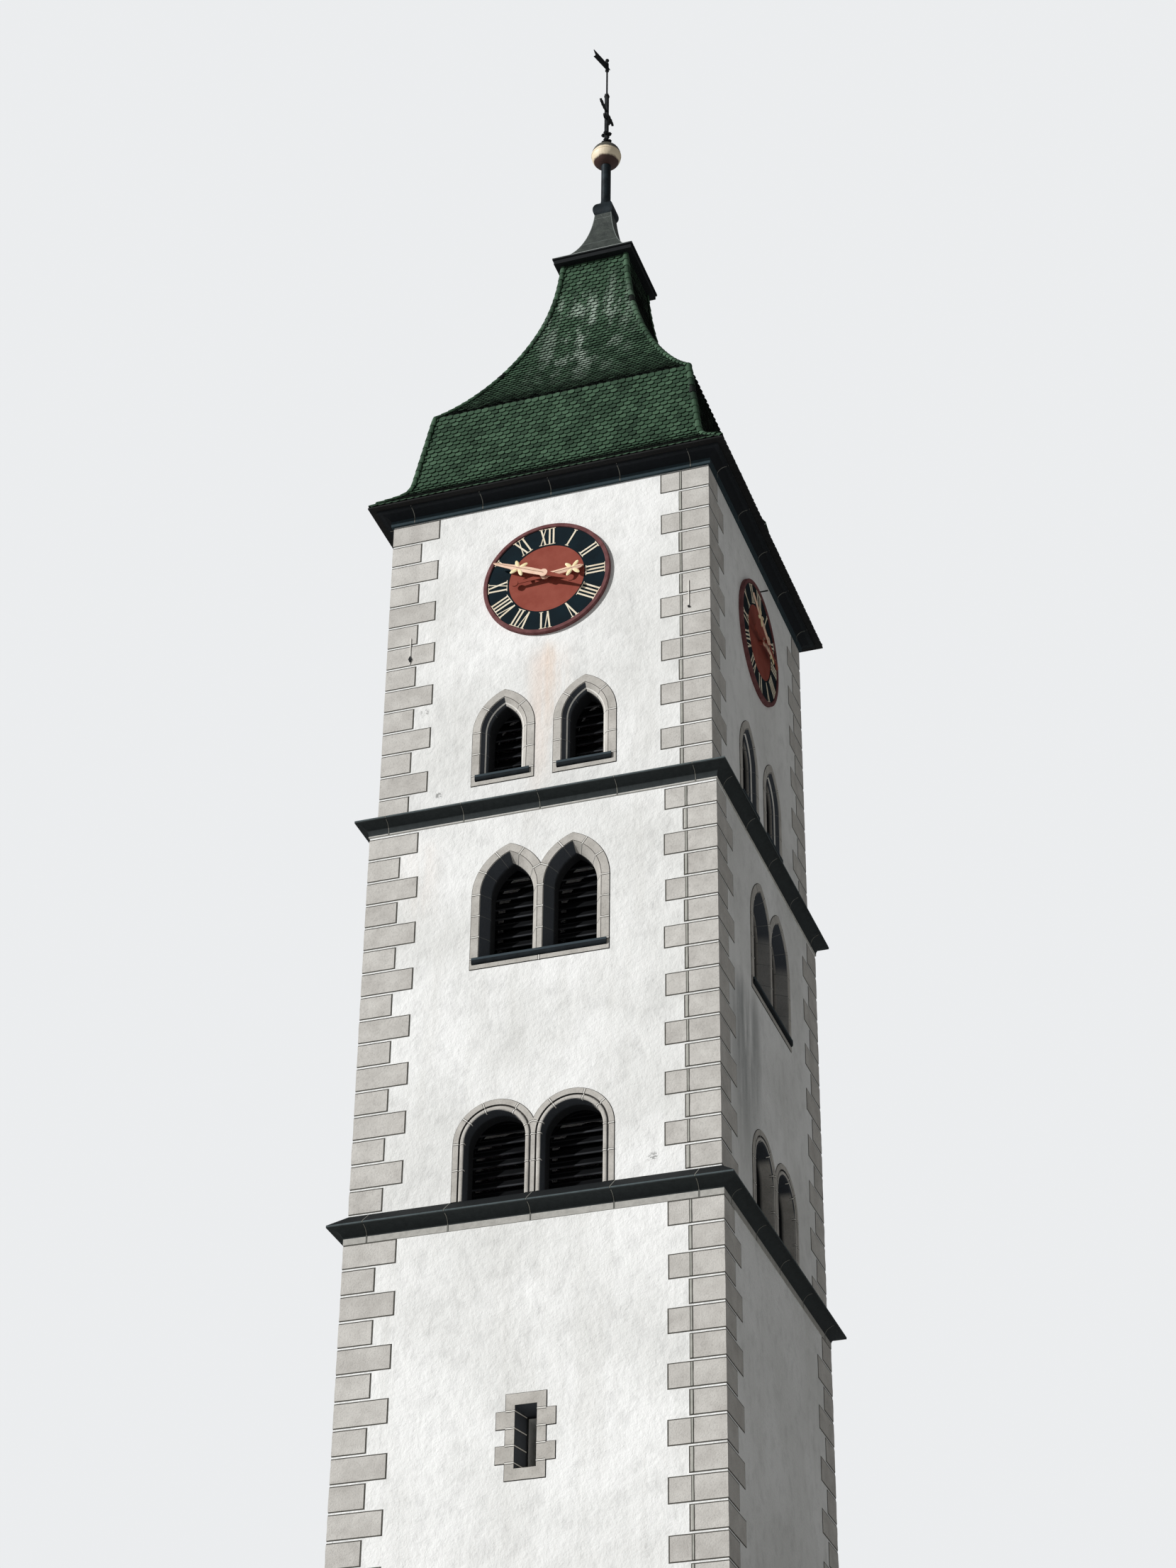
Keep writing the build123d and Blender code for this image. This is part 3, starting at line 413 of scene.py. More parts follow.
def orbMaterial(foot, head):
    material, tree = newMaterial("orbPaint", 0.5)
    inputs = {"Value": placeParts(tree)[2], "From Min": foot, "From Max": head}
    level = addNode(tree, "ShaderNodeMapRange", inputs).outputs["Result"]
    wear = noiseOf(tree, 9.0, 6.0, 0.65)
    shifted = mathNode("ADD", level, mathNode("MULTIPLY", wear, 0.16))
    # painted reflection: brown up to the reflection level, cream above
    low, high, blur = orbLook["reflectionLevel"], orbLook["capLevel"], orbLook["blur"]
    body = ramp(shifted, (low - blur, orbLook["paintedRoofReflection"]), (low + blur, orbLook["cream"]),
                (high - blur, orbLook["cream"]), (high + blur, orbLook["cap"]))
    return finishLook(material, body, (wear, 0.008))


clockHalf = -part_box("clock_stage_front_wall")[0].y
belfryHalf = -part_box("belfry_front_wall")[0].y
shaftHalf = -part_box("shaft_front_wall")[0].y
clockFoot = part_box("clock_stage_front_wall")[0].z
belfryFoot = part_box("belfry_front_wall")[0].z
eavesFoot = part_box("eaves_cornice")[0].z
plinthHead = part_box("plinth")[1].z
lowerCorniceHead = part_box("lower_cornice")[1].z
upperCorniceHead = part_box("upper_cornice")[1].z
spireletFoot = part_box("spirelet")[0].z
orbLow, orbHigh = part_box("orb")
stoneDeep = 0.24  # depth of the window surrounds behind the wall's face

plainLooks = {  # two colours, roughness, scale of the patches, relief, and where needed metal and stretch
    "revealLine": ((98, 100, 100), (118, 118, 116), 0.9, 12.0, 0.001),
    "darkLine": ((44, 42, 40), (66, 62, 58), 0.9, 12.0, 0.001),
    "quoinLine": ((66, 64, 59), (88, 86, 80), 0.9, 12.0, 0.001),
    "quoinBand": ((160, 160, 152), (176, 175, 168), 0.9, 12.0, 0.001),
    "mortar": ((232, 230, 224), (214, 211, 204), 0.9, 12.0, 0.001),
    "corniceJoint": ((142, 142, 134), (112, 112, 106), 0.9, 12.0, 0.001),
    "jointBorder": ((24, 26, 28), (36, 38, 40), 0.9, 12.0, 0.001),
    "roofBoard": ((16, 22, 16), (28, 34, 26), 0.9, 6.0, 0.002),
    "boardWood": ((34, 34, 34), (22, 23, 24), 0.85, 9.0, 0.002, 0.0, (0.2, 3, 3)),
    "doorWood": ((86, 64, 44), (60, 44, 32), 0.75, 9.0, 0.002, 0.0, (4, 4, 0.3)),
    "darkSheet": ((16, 22, 26), (38, 48, 53), 0.5, 7.0, 0.001, 0.3),
    "wroughtIron": ((20, 22, 24), (40, 42, 44), 0.7, 20.0, 0.0008, 0.2),
    "handGilding": ((232, 192, 166), (242, 208, 184), 0.6, 12.0, 0.0008),
    "petalGilding": ((240, 220, 168), (250, 238, 198), 0.5, 12.0, 0.0008),
    "handRidge": ((96, 70, 44), (118, 88, 60), 0.7, 12.0, 0.0004),
}
paintLooks = {  # two colours and the scale of the patches
    "dialRed": ((136, 66, 54), (148, 78, 65), 6.0), "dialBlue": ((4, 20, 27), (8, 28, 36), 6.0),
    "ringPaint": ((96, 58, 58), (120, 80, 80), 9.0), "numeralPaint": ((240, 230, 208), (226, 212, 186), 12.0),
}
# on the two cornices the dark band at the top is painted shadow under the cap
layeredLooks = {
    "lowerCorniceStone": ((0, (176, 174, 168)), (belfryFoot + 0.061, (48, 53, 54)),
                          (belfryFoot + 0.150, (82, 92, 94)), (belfryFoot + 0.163, (20, 24, 26))),
    "upperCorniceStone": ((0, (196, 194, 188)), (clockFoot + 0.0135, (48, 53, 54)),
                          (clockFoot + 0.140, (86, 96, 98)), (clockFoot + 0.153, (16, 19, 21))),
    "eavesStone": ((0, (46, 60, 66)), (eavesFoot + 0.066, (22, 26, 30)), (eavesFoot + 0.126, (34, 38, 42))),
    "slabStone": ((0, (22, 25, 27)), (spireletFoot - 0.008, (150, 156, 152))),
}
surroundLooks = {  # how far out the wall stands, and how deep the painted shade begins
    "upperWindowStone": (clockHalf, 0.056), "twinWindowStone": (belfryHalf, 0.10),
    "roundWindowStone": (belfryHalf, 0.10), "shaftWindowStone": (shaftHalf, 0.16),
}
looks = {
    "limePlaster": plasterMaterial(), "quoinStone": stoneMaterial("quoinStone", stoneLook),
    "sillStone": sillMaterial((clockFoot + 0.557, belfryFoot + 2.852)),
    "louvreWood": louvreMaterial(clockHalf - stoneDeep, belfryHalf - stoneDeep),
    "spireletSheet": spireletMaterial(spireletFoot), "orbPaint": orbMaterial(orbLow.z, orbHigh.z),
}
looks.update({name: plainMaterial(name, *values) for name, values in plainLooks.items()})
looks.update({name: paintMaterial(name, *values) for name, values in paintLooks.items()})
looks.update({name: layeredMaterial(name, levels) for name, levels in layeredLooks.items()})
looks.update({name: stoneMaterial(name, surroundLook, *values) for name, values in surroundLooks.items()})
for name, lichenShare in (("lowerRoofTile", 0.2), ("upperRoofTile", 0.95), ("hipTile", 0.5)):
    looks[name] = tileMaterial(name, lichenShare)

cadLooks = {
    "plinth": "quoinStone", "ground_floor": "shaftWindowStone", "plank_floors": "boardWood",
    "lower_cornice": "lowerCorniceStone", "upper_cornice": "upperCorniceStone", "eaves_cornice": "eavesStone",
    "window_sills": "sillStone", "window_louvres": "louvreWood", "eaves_board": "boardWood",
    "clock_stage_window_surrounds": "upperWindowStone", "belfry_pointed_window_surrounds": "twinWindowStone",
    "belfry_round_window_surrounds": "roundWindowStone", "shaft_slit_surrounds": "shaftWindowStone",
    "door_surround": "shaftWindowStone", "door": "doorWood", "roof_lower": "roofBoard", "roof_upper": "roofBoard",
    "roof_slab": "slabStone", "spirelet": "spireletSheet", "spirelet_collar": "darkSheet",
    "finial_pole": "darkSheet", "orb": "orbPaint", "finial_cross": "wroughtIron", "vane_rod": "wroughtIron",
    "wind_vane": "wroughtIron", "dial_plates": "dialRed", "dial_rings": "ringPaint",
}
for side in sideTurns:
    for stage in ("shaft", "belfry", "clock_stage"):
        cadLooks[f"{stage}_{side}_wall"] = "limePlaster"
    cadLooks[f"hour_hand_{side}"] = cadLooks[f"minute_hand_{side}"] = "handGilding"
for name, piece in nodes.items():
    piece.data.materials.clear()
    piece.data.materials.append(looks[cadLooks[name]])
print("materials on", len(nodes), "frame nodes")


# Quoins: a block wraps each corner, long on one face and short on the other, by turns

quoins = {
    "clock": {"half": clockHalf, "first": 21.4775, "foot": upperCorniceHead, "pitch": 0.26635, "long": 0.515,
              "short": 0.32, "rough": 0.0006},
    "belfry": {"half": belfryHalf, "first": 17.5275, "foot": lowerCorniceHead, "pitch": 0.258, "long": 0.52,
               "short": 0.325, "rough": 0.003},
    "shaft": {"half": shaftHalf, "first": 13.105, "foot": plinthHead, "pitch": 0.2575, "long": 0.52,
              "short": 0.3275, "rough": 0.003},
    "gap": 0.038, "vary": 0.008, "proud": 0.004, "edge": 0.0105, "edgeProud": 0.0016, "cells": (7, 4), "grain": 9,
    "seamOff": 0.006, "seam": 0.006, "seamProud": 0.0078, "band": 0.025, "bandProud": 0.0072, "least": 0.02,
    "overlap": 0.004, "sunk": 0.002,
}


def cornerBlock(mesh, corner, half, runX, runY, low, high, proud, rough, seed, shade):
    signX, signY = corner  # an L round the corner, along the front face to the corner and on along the side
    out, inner = half + proud, half - quoins["sunk"]
    cellsAlong, cellsUp = quoins["cells"] if rough else (1, 1)
    rows, last, grain = cellsUp + 1, 2 * cellsAlong, quoins["grain"]
    path = [(out - runX * (1 - step / cellsAlong), out, "x") for step in range(cellsAlong + 1)]
    path += [(out, out - runY * step / cellsAlong, "y") for step in range(1, cellsAlong + 1)]
    points = []
    for column, (x, y, face) in enumerate(path):
        for row in range(rows):
            z = low + (high - low) * row / cellsUp
            lift = 0.0
            if rough and 0 < column < last and 0 < row < cellsUp:
                lift = rough * noise.noise(Vector((x * grain + seed, y * grain, z * grain)))
            offX = lift if face == "y" or column == cellsAlong else 0.0
            offY = lift if face == "x" or column == cellsAlong else 0.0
            points.append((signX * (x + offX), signY * (y + offY), z))
    back = len(points)
    for x, y in ((out - runX, inner), (inner, inner), (inner, out - runY)):
        points += [(signX * x, signY * y, low), (signX * x, signY * y, high)]
    faces = [(start, start + rows, start + rows + 1, start + 1)
             for start in range(last * rows) if start % rows < cellsUp]
    faces.append(tuple(column * rows for column in range(last, -1, -1)) + (back, back + 2, back + 4))
    faces.append(tuple(column * rows + cellsUp for column in range(last + 1)) + (back + 5, back + 3, back + 1))
    faces.append((back,) + tuple(range(rows)) + (back + 1,))
    faces.append((back + 5,) + tuple(range(last * rows + cellsUp, last * rows - 1, -1)) + (back + 4,))
    faces += [(back, back + 1, back + 3, back + 2), (back + 2, back + 3, back + 5, back + 4)]
    addFaces(mesh, points, [face[::-1] for face in faces] if signX * signY > 0 else faces, shade)


def buildQuoins(stage):
    rule, edge = quoins[stage], quoins["edge"]
    stones, edges, bands = newMesh(), newMesh(), newMesh()
    for corner in ((1, -1), (-1, -1), (1, 1), (-1, 1)):
        level, course = rule["first"], 0
        while level > rule["foot"] + quoins["least"]:
            low = max(level - rule["pitch"] + quoins["gap"], rule["foot"] - quoins["overlap"])
            longFront = course % 2 == 0
            runX, runY = (rule["long"], rule["short"]) if longFront else (rule["short"], rule["long"])
            runX += random.uniform(-quoins["vary"], quoins["vary"])
            runY += random.uniform(-quoins["vary"], quoins["vary"])
            shade = random.random()
            seed = course * 3.7 + corner[0] * 11 + corner[1] * 5
            cornerBlock(stones, corner, rule["half"], runX, runY, low, level, quoins["proud"], rule["rough"],
                        seed, shade)
            cornerBlock(edges, corner, rule["half"], runX + edge, runY + edge, low - edge, level + edge,
                        quoins["edgeProud"], 0, 0, 0.5)
            if corner == (1, -1):  # a grey band with dark edges runs down the front's right corner
                place, line = sidePlace("front", rule["half"]), quoins["seam"]
                seam = rule["half"] - rule["short"] + quoins["seamOff"]
                end = seam + quoins["band"]
                for left in (seam, end - line) if longFront else (end - line,):
                    addPrism(edges, place, rectangle(left, low, left + line, level), 0.0, quoins["seamProud"])
                addPrism(bands, place, rectangle(seam, low, end, level), 0.0, quoins["bandProud"])
            level -= rule["pitch"]
            course += 1
    makePiece(f"{stage}_quoins", stones, "quoinStone")
    makePiece(f"{stage}_quoin_outlines", edges, "quoinLine")
    makePiece(f"{stage}_quoin_bands", bands, "quoinBand")


for stage in ("clock", "belfry", "shaft"):
    buildQuoins(stage)
print("quoins done")


# Roof: beaver-tail tiles in rows that break joint, and half-round tiles on the hips

tiles = {"width": 0.0832, "row": 0.0615, "reach": 1.32, "thick": 0.009, "butt": 0.015, "buttVary": (-0.0015, 0.0025),
         "arc": 5, "round": 0.34, "gap": 0.007, "firstDrop": 0.012, "drop": 0.003, "twist": 0.025, "least": 0.012,
         "lift": 0.001, "overHip": 0.004, "inset": 0.0005, "samples": 160, "probe": 0.02}
hipTiles = {"row": 0.115, "length": 0.132, "low": 0.046, "high": 0.029, "thick": 0.008, "steps": 7,
            "lift": 0.026, "sink": 0.6, "round": 0.94}
roofEdge = cadBounds[1].x - tiles["inset"]  # no tile reaches past the solids


def frontLevels(name, across, margin, steps):  # how far out a frame solid's front stands, level by level
    solid = nodes[name].data
    tree = BVHTree.FromPolygons([point.co for point in solid.vertices],
                                [tuple(face.vertices) for face in solid.polygons])
    low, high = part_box(name)
    levels = []
    outside = -9.0
    for step in range(steps + 1):
        level = low.z + margin + (high.z - low.z - 2 * margin) * step / steps
        hit = tree.ray_cast(Vector((across, outside, level)), Vector((0, 1, 0)))
        levels.append((-hit[0].y, level))
    return levels


def along(profile):  # the length up the slope at each level
    lengths = [0.0]
    for (halfA, levelA), (halfB, levelB) in zip(profile, profile[1:]):
        lengths.append(lengths[-1] + math.hypot(halfB - halfA, levelB - levelA))
    return lengths


def spotAt(profile, lengths, length):
    length = min(max(length, 0.0), lengths[-1])
    for index in range(len(lengths) - 1):
        if length <= lengths[index + 1]:
            share = (length - lengths[index]) / max(lengths[index + 1] - lengths[index], 1e-9)
            return tuple(low + share * (high - low) for low, high in zip(profile[index], profile[index + 1]))
    return profile[-1]


def slopeAt(profile, lengths, length):
    below, above = (spotAt(profile, lengths, length + way * tiles["probe"]) for way in (-1, 1))
    run = Vector((above[0] - below[0], above[1] - below[1])).normalized()
    return run, Vector((run.y, -run.x))  # up the slope, and out of it


def tileShape(row):  # a tile's outline with its rounded lower end, and the faces of its rim and underside
    wide, arc, length = tiles["width"], tiles["arc"], tiles["reach"] * row
    size = 0.5 * wide - tiles["gap"] / 2
    flat = []
    for step in range(arc + 1):
        angle = math.pi * step / arc
        flat.append((-size * math.cos(angle), tiles["round"] * wide * (1 - math.sin(angle))))
    flat += [(size, length), (-size, length)]
    total = len(flat)
    rim = [tuple(range(total - 1, -1, -1))]
    rim += [(step, (step + 1) % total, total + (step + 1) % total, total + step) for step in range(total)]
    return flat, rim, length


def addTile(mesh, place, middle, half, lean, level, up, out, shape):
    flat, rim, length = shape
    drop = random.uniform(-tiles["drop"], tiles["drop"])
    twist = random.uniform(-tiles["twist"], tiles["twist"])
    butt = tiles["butt"] + random.uniform(*tiles["buttVary"])
    points = []
    for thick in (0.0, tiles["thick"]):
        for across, down in flat:
            rise = down + drop
            limit = min(half + lean * rise + tiles["overHip"], roofEdge)
            spot = Vector((half, level)) + up * rise + out * (butt * (1 - down / length) + tiles["lift"] + thick)
            u = max(-limit, min(limit, middle + across + twist * down))
            points.append(place(u, spot.y, min(spot.x, roofEdge)))
    total, corner = len(flat), points[0]
    if max(abs(point.x - corner.x) + abs(point.y - corner.y) for point in points[:total]) < tiles["least"]:
        return  # hardly anything is left of it beside the hip
    addFaces(mesh, points, [tuple(range(total, 2 * total))], random.uniform(0.1, 1.0))
    start = len(mesh["points"]) - 2 * total
    mesh["faces"].extend(tuple(start + index for index in face) for face in rim)  # rim and underside, painted near black as shade
    mesh["shades"].extend([0.0] * len(rim))


def buildTiles(name, profile, look):
    lengths = along(profile)
    rowCount = int(lengths[-1] / tiles["row"])
    row = lengths[-1] / rowCount
    mesh, wide, shape = newMesh(), tiles["width"], tileShape(row)
    for side in sideTurns:
        place = sidePlace(side, 0.0)
        for index in range(rowCount):
            start = index * row - (0 if index else tiles["firstDrop"])
            up, out = slopeAt(profile, lengths, start + 0.5 * row)
            half, level = spotAt(profile, lengths, start)
            lean = (spotAt(profile, lengths, start + row)[0] - half) / row
            count = int(half / wide) + 2
            for column in range(-count, count + 1):
                middle = column * wide + (0.5 * wide if index % 2 else 0.0)
                if abs(middle) - 0.5 * wide <= half:
                    addTile(mesh, place, middle, half, lean, level, up, out, shape)
    makePiece(name, mesh, look, outwards=False)


def buildHips(name, profiles):
    mesh, steps = newMesh(), hipTiles["steps"]
    ring = steps + 1
    faces = []
    for step in range(steps):
        for near, far in ((0, 2), (3, 1), (1, 0), (2, 3)):
            first, second = near * ring + step, far * ring + step
            faces.append((first, first + 1, second + 1, second))
    faces += [(0, 2 * ring, 3 * ring, ring), (steps, ring + steps, 3 * ring + steps, 2 * ring + steps)]
    for profile in profiles:
        diagonal = [(half * math.sqrt(2), level) for half, level in profile]
        lengths = along(diagonal)
        count = max(2, round(lengths[-1] / hipTiles["row"]))
        row = lengths[-1] / count
        length = row * hipTiles["length"] / hipTiles["row"]
        for turn in (45, 135, 225, 315):
            angle = math.radians(turn)
            outward = Vector((math.cos(angle), math.sin(angle), 0))
            across = Vector((-math.sin(angle), math.cos(angle), 0))
            for index in range(count):
                up, out = slopeAt(diagonal, lengths, (index + 0.5) * row)
                spot = spotAt(diagonal, lengths, index * row)
                base, up, out = (outward * pair[0] + Vector((0, 0, pair[1])) for pair in (spot, up, out))
                points = []
                for far, radius in ((0.0, hipTiles["low"]), (length, hipTiles["high"])):
                    centre = base + up * far + out * (hipTiles["lift"] - hipTiles["sink"] * radius)
                    for size in (radius, radius - hipTiles["thick"]):
                        for step in range(ring):
                            bend = math.pi * (step / steps - 0.5) * hipTiles["round"]
                            spot = centre + across * (size * math.sin(bend)) + out * (size * math.cos(bend))
                            x, y = (max(-roofEdge, min(roofEdge, part)) for part in spot.xy)
                            points.append((x, y, spot.z))
                addFaces(mesh, points, faces, random.random())
    makePiece(name, mesh, "hipTile")


lowerProfile = frontLevels("roof_lower", 0.013, 0.0005, tiles["samples"])
upperProfile = frontLevels("roof_upper", 0.013, 0.0005, tiles["samples"])
buildTiles("lower_roof_tiles", lowerProfile, "lowerRoofTile")
buildTiles("upper_roof_tiles", upperProfile, "upperRoofTile")
buildHips("hip_tiles", [lowerProfile, upperProfile])
print("roof tiles done")


# Dials: a dark band with numerals round the red middle

dial = {"level": 20.415, "face": 0.024, "band": (0.415, 0.647), "bandThick": 0.003, "numeral": (0.429, 0.639),
        "thick": 0.0185, "thin": 0.0095, "stub": 0.018, "serif": 0.0125, "serifHigh": 0.0065, "raise": 0.003,
        "raiseStep": 0.0003, "raiseSerif": 0.0008, "sunk": 0.001}
numerals = ["XII", "I", "II", "III", "IIII", "V", "VI", "VII", "VIII", "IX", "X", "XI"]
letters = {  # width, strokes as (place at the foot, at the head, width), serifs as (place, width, at the head)
    "I": (0.043, ((0, 0, "thick"),), ((0, "stub", False), (0, "stub", True))),
    "V": (0.096, ((0, -1, "thick"), (0, 1, "thin")), ((-1, "thick", True), (1, "thin", True))),
    "X": (0.096, ((1, -1, "thick"), (-1, 1, "thin")),
          ((-1, "thick", True), (1, "thin", True), (-1, "thin", False), (1, "thick", False))),
}


def onDial(u, v, turn):  # a point of the dial at twelve o'clock, turned clockwise by some degrees
    u, v = spin(u, v, -math.radians(turn))
    return u, dial["level"] + v


def letterShapes(letter, left):
    width, strokes, serifs = letters[letter]
    foot, head = dial["numeral"]
    middle, spread, high = left + width / 2, width / 2 - dial["thick"] / 2 - dial["serif"], dial["serifHigh"]
    shapes = []  # each with its height over the band: where strokes cross, one lies a little higher
    for order, (atFoot, atHead, weight) in enumerate(strokes):
        half, low, up = dial[weight] / 2, middle + atFoot * spread, middle + atHead * spread
        outline = [(low - half, foot), (low + half, foot), (up + half, head), (up - half, head)]
        shapes.append((outline, dial["raiseStep"] * order))
    for spot, weight, atHead in serifs:
        reach, level = dial[weight] / 2 + dial["serif"], head - high if atHead else foot
        spot = middle + spot * spread
        shapes.append((rectangle(spot - reach, level, spot + reach, level + high), dial["raiseSerif"]))
    return shapes


def buildDials():
    bands, marks = newMesh(), newMesh()
    bandTop = dial["face"] + dial["bandThick"]
    for side in sideTurns:
        place = sidePlace(side, clockHalf)
        inner, outer = (circlePoints(radius, 96, 0, dial["level"]) for radius in dial["band"])
        addSheet(bands, place, inner, outer, bandTop, bandTop, dial["bandThick"] + dial["sunk"], closed=True)
        for hour, word in enumerate(numerals):
            left = -sum(letters[letter][0] for letter in word) / 2
            for letter in word:
                for outline, lift in letterShapes(letter, left):
                    outline = [onDial(u, v, 30 * hour) for u, v in outline]
                    addPrism(marks, place, outline, bandTop - dial["sunk"], bandTop + dial["raise"] + lift)
                left += letters[letter][0]
    makePiece("dial_bands", bands, "dialBlue")
    makePiece("dial_numerals", marks, "numeralPaint")


buildDials()
print("dials done")


# Hands: a ridged blade with four petals, and a tail with a round weight painted like the dial

hands = {
    "hour": {"plane": 0.072, "angle": 84.5, "flower": 0.300,
             "rows": ((0.0, 0.060), (0.27, 0.060), (0.388, 0.042), (0.424, 0.004))},
    "minute": {"plane": 0.120, "angle": 294.0, "flower": 0.298,
               "rows": ((0.0, 0.064), (0.16, 0.074), (0.34, 0.064), (0.57, 0.034), (0.611, 0.004))},
    "thick": 0.014, "edge": 0.005, "ridge": 0.0055, "petalLong": 0.050, "petalWide": 0.021, "petalOut": 0.056,
    "petalTop": 0.55, "petalProud": 0.012, "petalRim": 0.007, "petalFoot": 0.001, "petalSkin": 0.002, "lean": 0.72,
    "ridgeEnds": (0.012, 0.0148), "ridgeShort": 0.02, "ridgeTip": 0.4, "hub": 0.046, "hubHigh": 0.012, "tail": 0.33,
    "tailWide": 0.024, "tailRoot": (0.056, -0.01), "tailFoot": 0.001, "weight": 0.036, "paintThick": 0.010,
}


def buildHand(kind, side):
    rule, edge, thick = hands[kind], hands["edge"], hands["thick"]
    blade, petals, ridge, tail = newMesh(), newMesh(), newMesh(), newMesh()
    flat = sidePlace(side, clockHalf + rule["plane"])

    def place(u, v, w):
        return flat(*onDial(u, v, rule["angle"]), w)

    addRings(blade, [[place(-wide / 2, v, 0), place(wide / 2, v, 0), place(wide / 2, v, edge), place(0, v, thick),
                      place(-wide / 2, v, edge)] for v, wide in rule["rows"]])
    addPrism(blade, place, circlePoints(hands["hub"], 24), 0.0, hands["hubHigh"])
    half, length, tip = hands["ridge"] / 2, rule["rows"][-1][0] - hands["ridgeShort"], hands["ridgeTip"]
    outline = [(-half, 0.0), (half, 0.0), (tip * half, length), (-tip * half, length)]
    addPrism(ridge, place, outline, *hands["ridgeEnds"])
    for signU in (-1, 1):
        for signV in (-1, 1):
            middleU = signU * hands["petalOut"] * math.cos(hands["lean"])
            middleV = rule["flower"] + signV * hands["petalOut"] * math.sin(hands["lean"])
            rings = []
            for size in (1.0, hands["petalTop"]):  # each petal is raised along its middle
                long, wide = size * hands["petalLong"], size * hands["petalWide"]
                ring = [spin(u * long, v * wide, signU * signV * hands["lean"]) for u, v in circlePoints(1.0, 16)]
                rings.append([(middleU + u, middleV + v) for u, v in ring])
            rim, top = hands["petalRim"], hands["petalProud"]
            addPrism(petals, place, rings[0], hands["petalFoot"], rim)
            addSheet(petals, place, rings[1], rings[0], top, rim, hands["petalSkin"], closed=True)
            addPrism(petals, place, rings[1], edge, top)
    half, end = hands["tailWide"] / 2, -hands["tail"]
    rootWide, root = hands["tailRoot"]
    outline = [(-half, end), (half, end), (rootWide / 2, root), (-rootWide / 2, root)]
    addPrism(tail, place, outline, hands["tailFoot"], hands["paintThick"])
    addPrism(tail, place, circlePoints(hands["weight"], 28, 0.0, end), 0.0, thick)
    body = f"{kind}_hand_{side}"
    for part, mesh, look in (("blade", blade, "handGilding"), ("petals", petals, "petalGilding"),
                             ("ridge", ridge, "handRidge"), ("tail", tail, "dialRed")):
        piece = makePiece(f"{body}_{part}", mesh, look, body)
        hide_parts(body)


for side in sideTurns:
    for kind in ("hour", "minute"):
        buildHand(kind, side)
print("hands done")


# Windows: a dark line round each surround and pale joints across its stones

windows = {
    "upper": {"half": clockHalf, "middle": 0.432, "twin": False, "light": 0.245, "stone": 0.085, "shift": 0.184,
              "spring": clockFoot + 1.077, "foot": clockFoot + 0.442, "lowest": clockFoot + 0.55, "course": 0.2575,
              "offset": 0.0, "outer": (0.56,), "inner": (0.56,),
              "chain": ((0.0, 0.008), (-0.046, -0.034), (-0.066, -0.054), (-0.066, -0.09))},
    "twin": {"half": belfryHalf, "middle": 0.326, "twin": True, "light": 0.294, "stone": 0.085, "shift": 0.187,
             "spring": belfryFoot + 3.567, "foot": belfryFoot + 2.737, "lowest": belfryFoot + 2.84, "course": 0.238,
             "offset": 0.018, "outer": (0.42, 0.8), "inner": (0.372, 0.8),
             "chain": ((0.0, 0.008), (-0.072, -0.098), (-0.072, -0.12))},
    "round": {"half": belfryHalf, "middle": 0.378, "twin": True, "light": 0.300, "stone": 0.110, "shift": 0.0,
              "spring": belfryFoot + 0.884, "foot": lowerCorniceHead, "lowest": lowerCorniceHead + 0.05,
              "course": 0.27, "offset": 0.0, "outer": (0.43, 0.8), "inner": (0.22, 0.62),
              "chain": ((0.058, 0.008), (0.058, -0.006), (0.046, -0.006), (0.040, 0.004), (0.030, 0.008),
                        (0.014, 0.008), (0.005, 0.003), (0.0, -0.006), (0.0, -0.03))},
    "door": {"half": shaftHalf, "middle": 0.0, "twin": False, "light": 0.330, "stone": 0.120, "shift": 0.190,
             "spring": 0.9, "foot": plinthHead, "lowest": 0.1, "course": 0.30, "offset": 0.0, "outer": (0.36, 0.72),
             "inner": (0.36, 0.72), "chain": ((0.0, 0.008), (0.0, -0.199))},
    "proud": 0.008, "line": 0.0065, "lineProud": 0.0016, "joint": 0.0105, "jointProud": 0.0016, "shadow": 0.021,
    "shadowProud": 0.0008, "sunk": 0.003, "revealJoint": 0.006, "innerLine": (0.001, 0.006), "innerProud": 0.0086,
    "sill": 0.115, "arris": (-0.0405, -0.0515), "arrisProud": (-0.0275, -0.0375), "groove": (0.0465, 0.0575),
    "grooveProud": -0.0052, "underSill": (0.05, 0.055, -0.002), "skin": 0.002, "arrisThick": 0.004, "steps": 12,
}


def outlineOf(rule, middle, grow, foot):  # up the right side, over the crown and down the left
    shift, spring, steps = rule["shift"], rule["spring"], windows["steps"]
    radius = rule["light"] + shift + grow
    lean = math.acos(shift / radius)
    right = [(radius * math.cos(lean * step / steps) - shift, radius * math.sin(lean * step / steps))
             for step in range(steps + 1)]
    points = [(middle + right[0][0], foot)] + [(middle + u, spring + v) for u, v in right]
    if rule["twin"]:  # down to the crotch over the middle, then the same for the other light
        cross = math.acos((middle + shift) / radius)
        for step in range(1, steps + 1):
            angle = lean + (cross - lean) * step / steps
            points.append((middle + shift - radius * math.cos(angle), spring + radius * math.sin(angle)))
        return points + [(-u, v) for u, v in points[-2::-1]]
    return points + [(middle - u, spring + v) for u, v in right[-2::-1]] + [(middle - right[0][0], foot)]


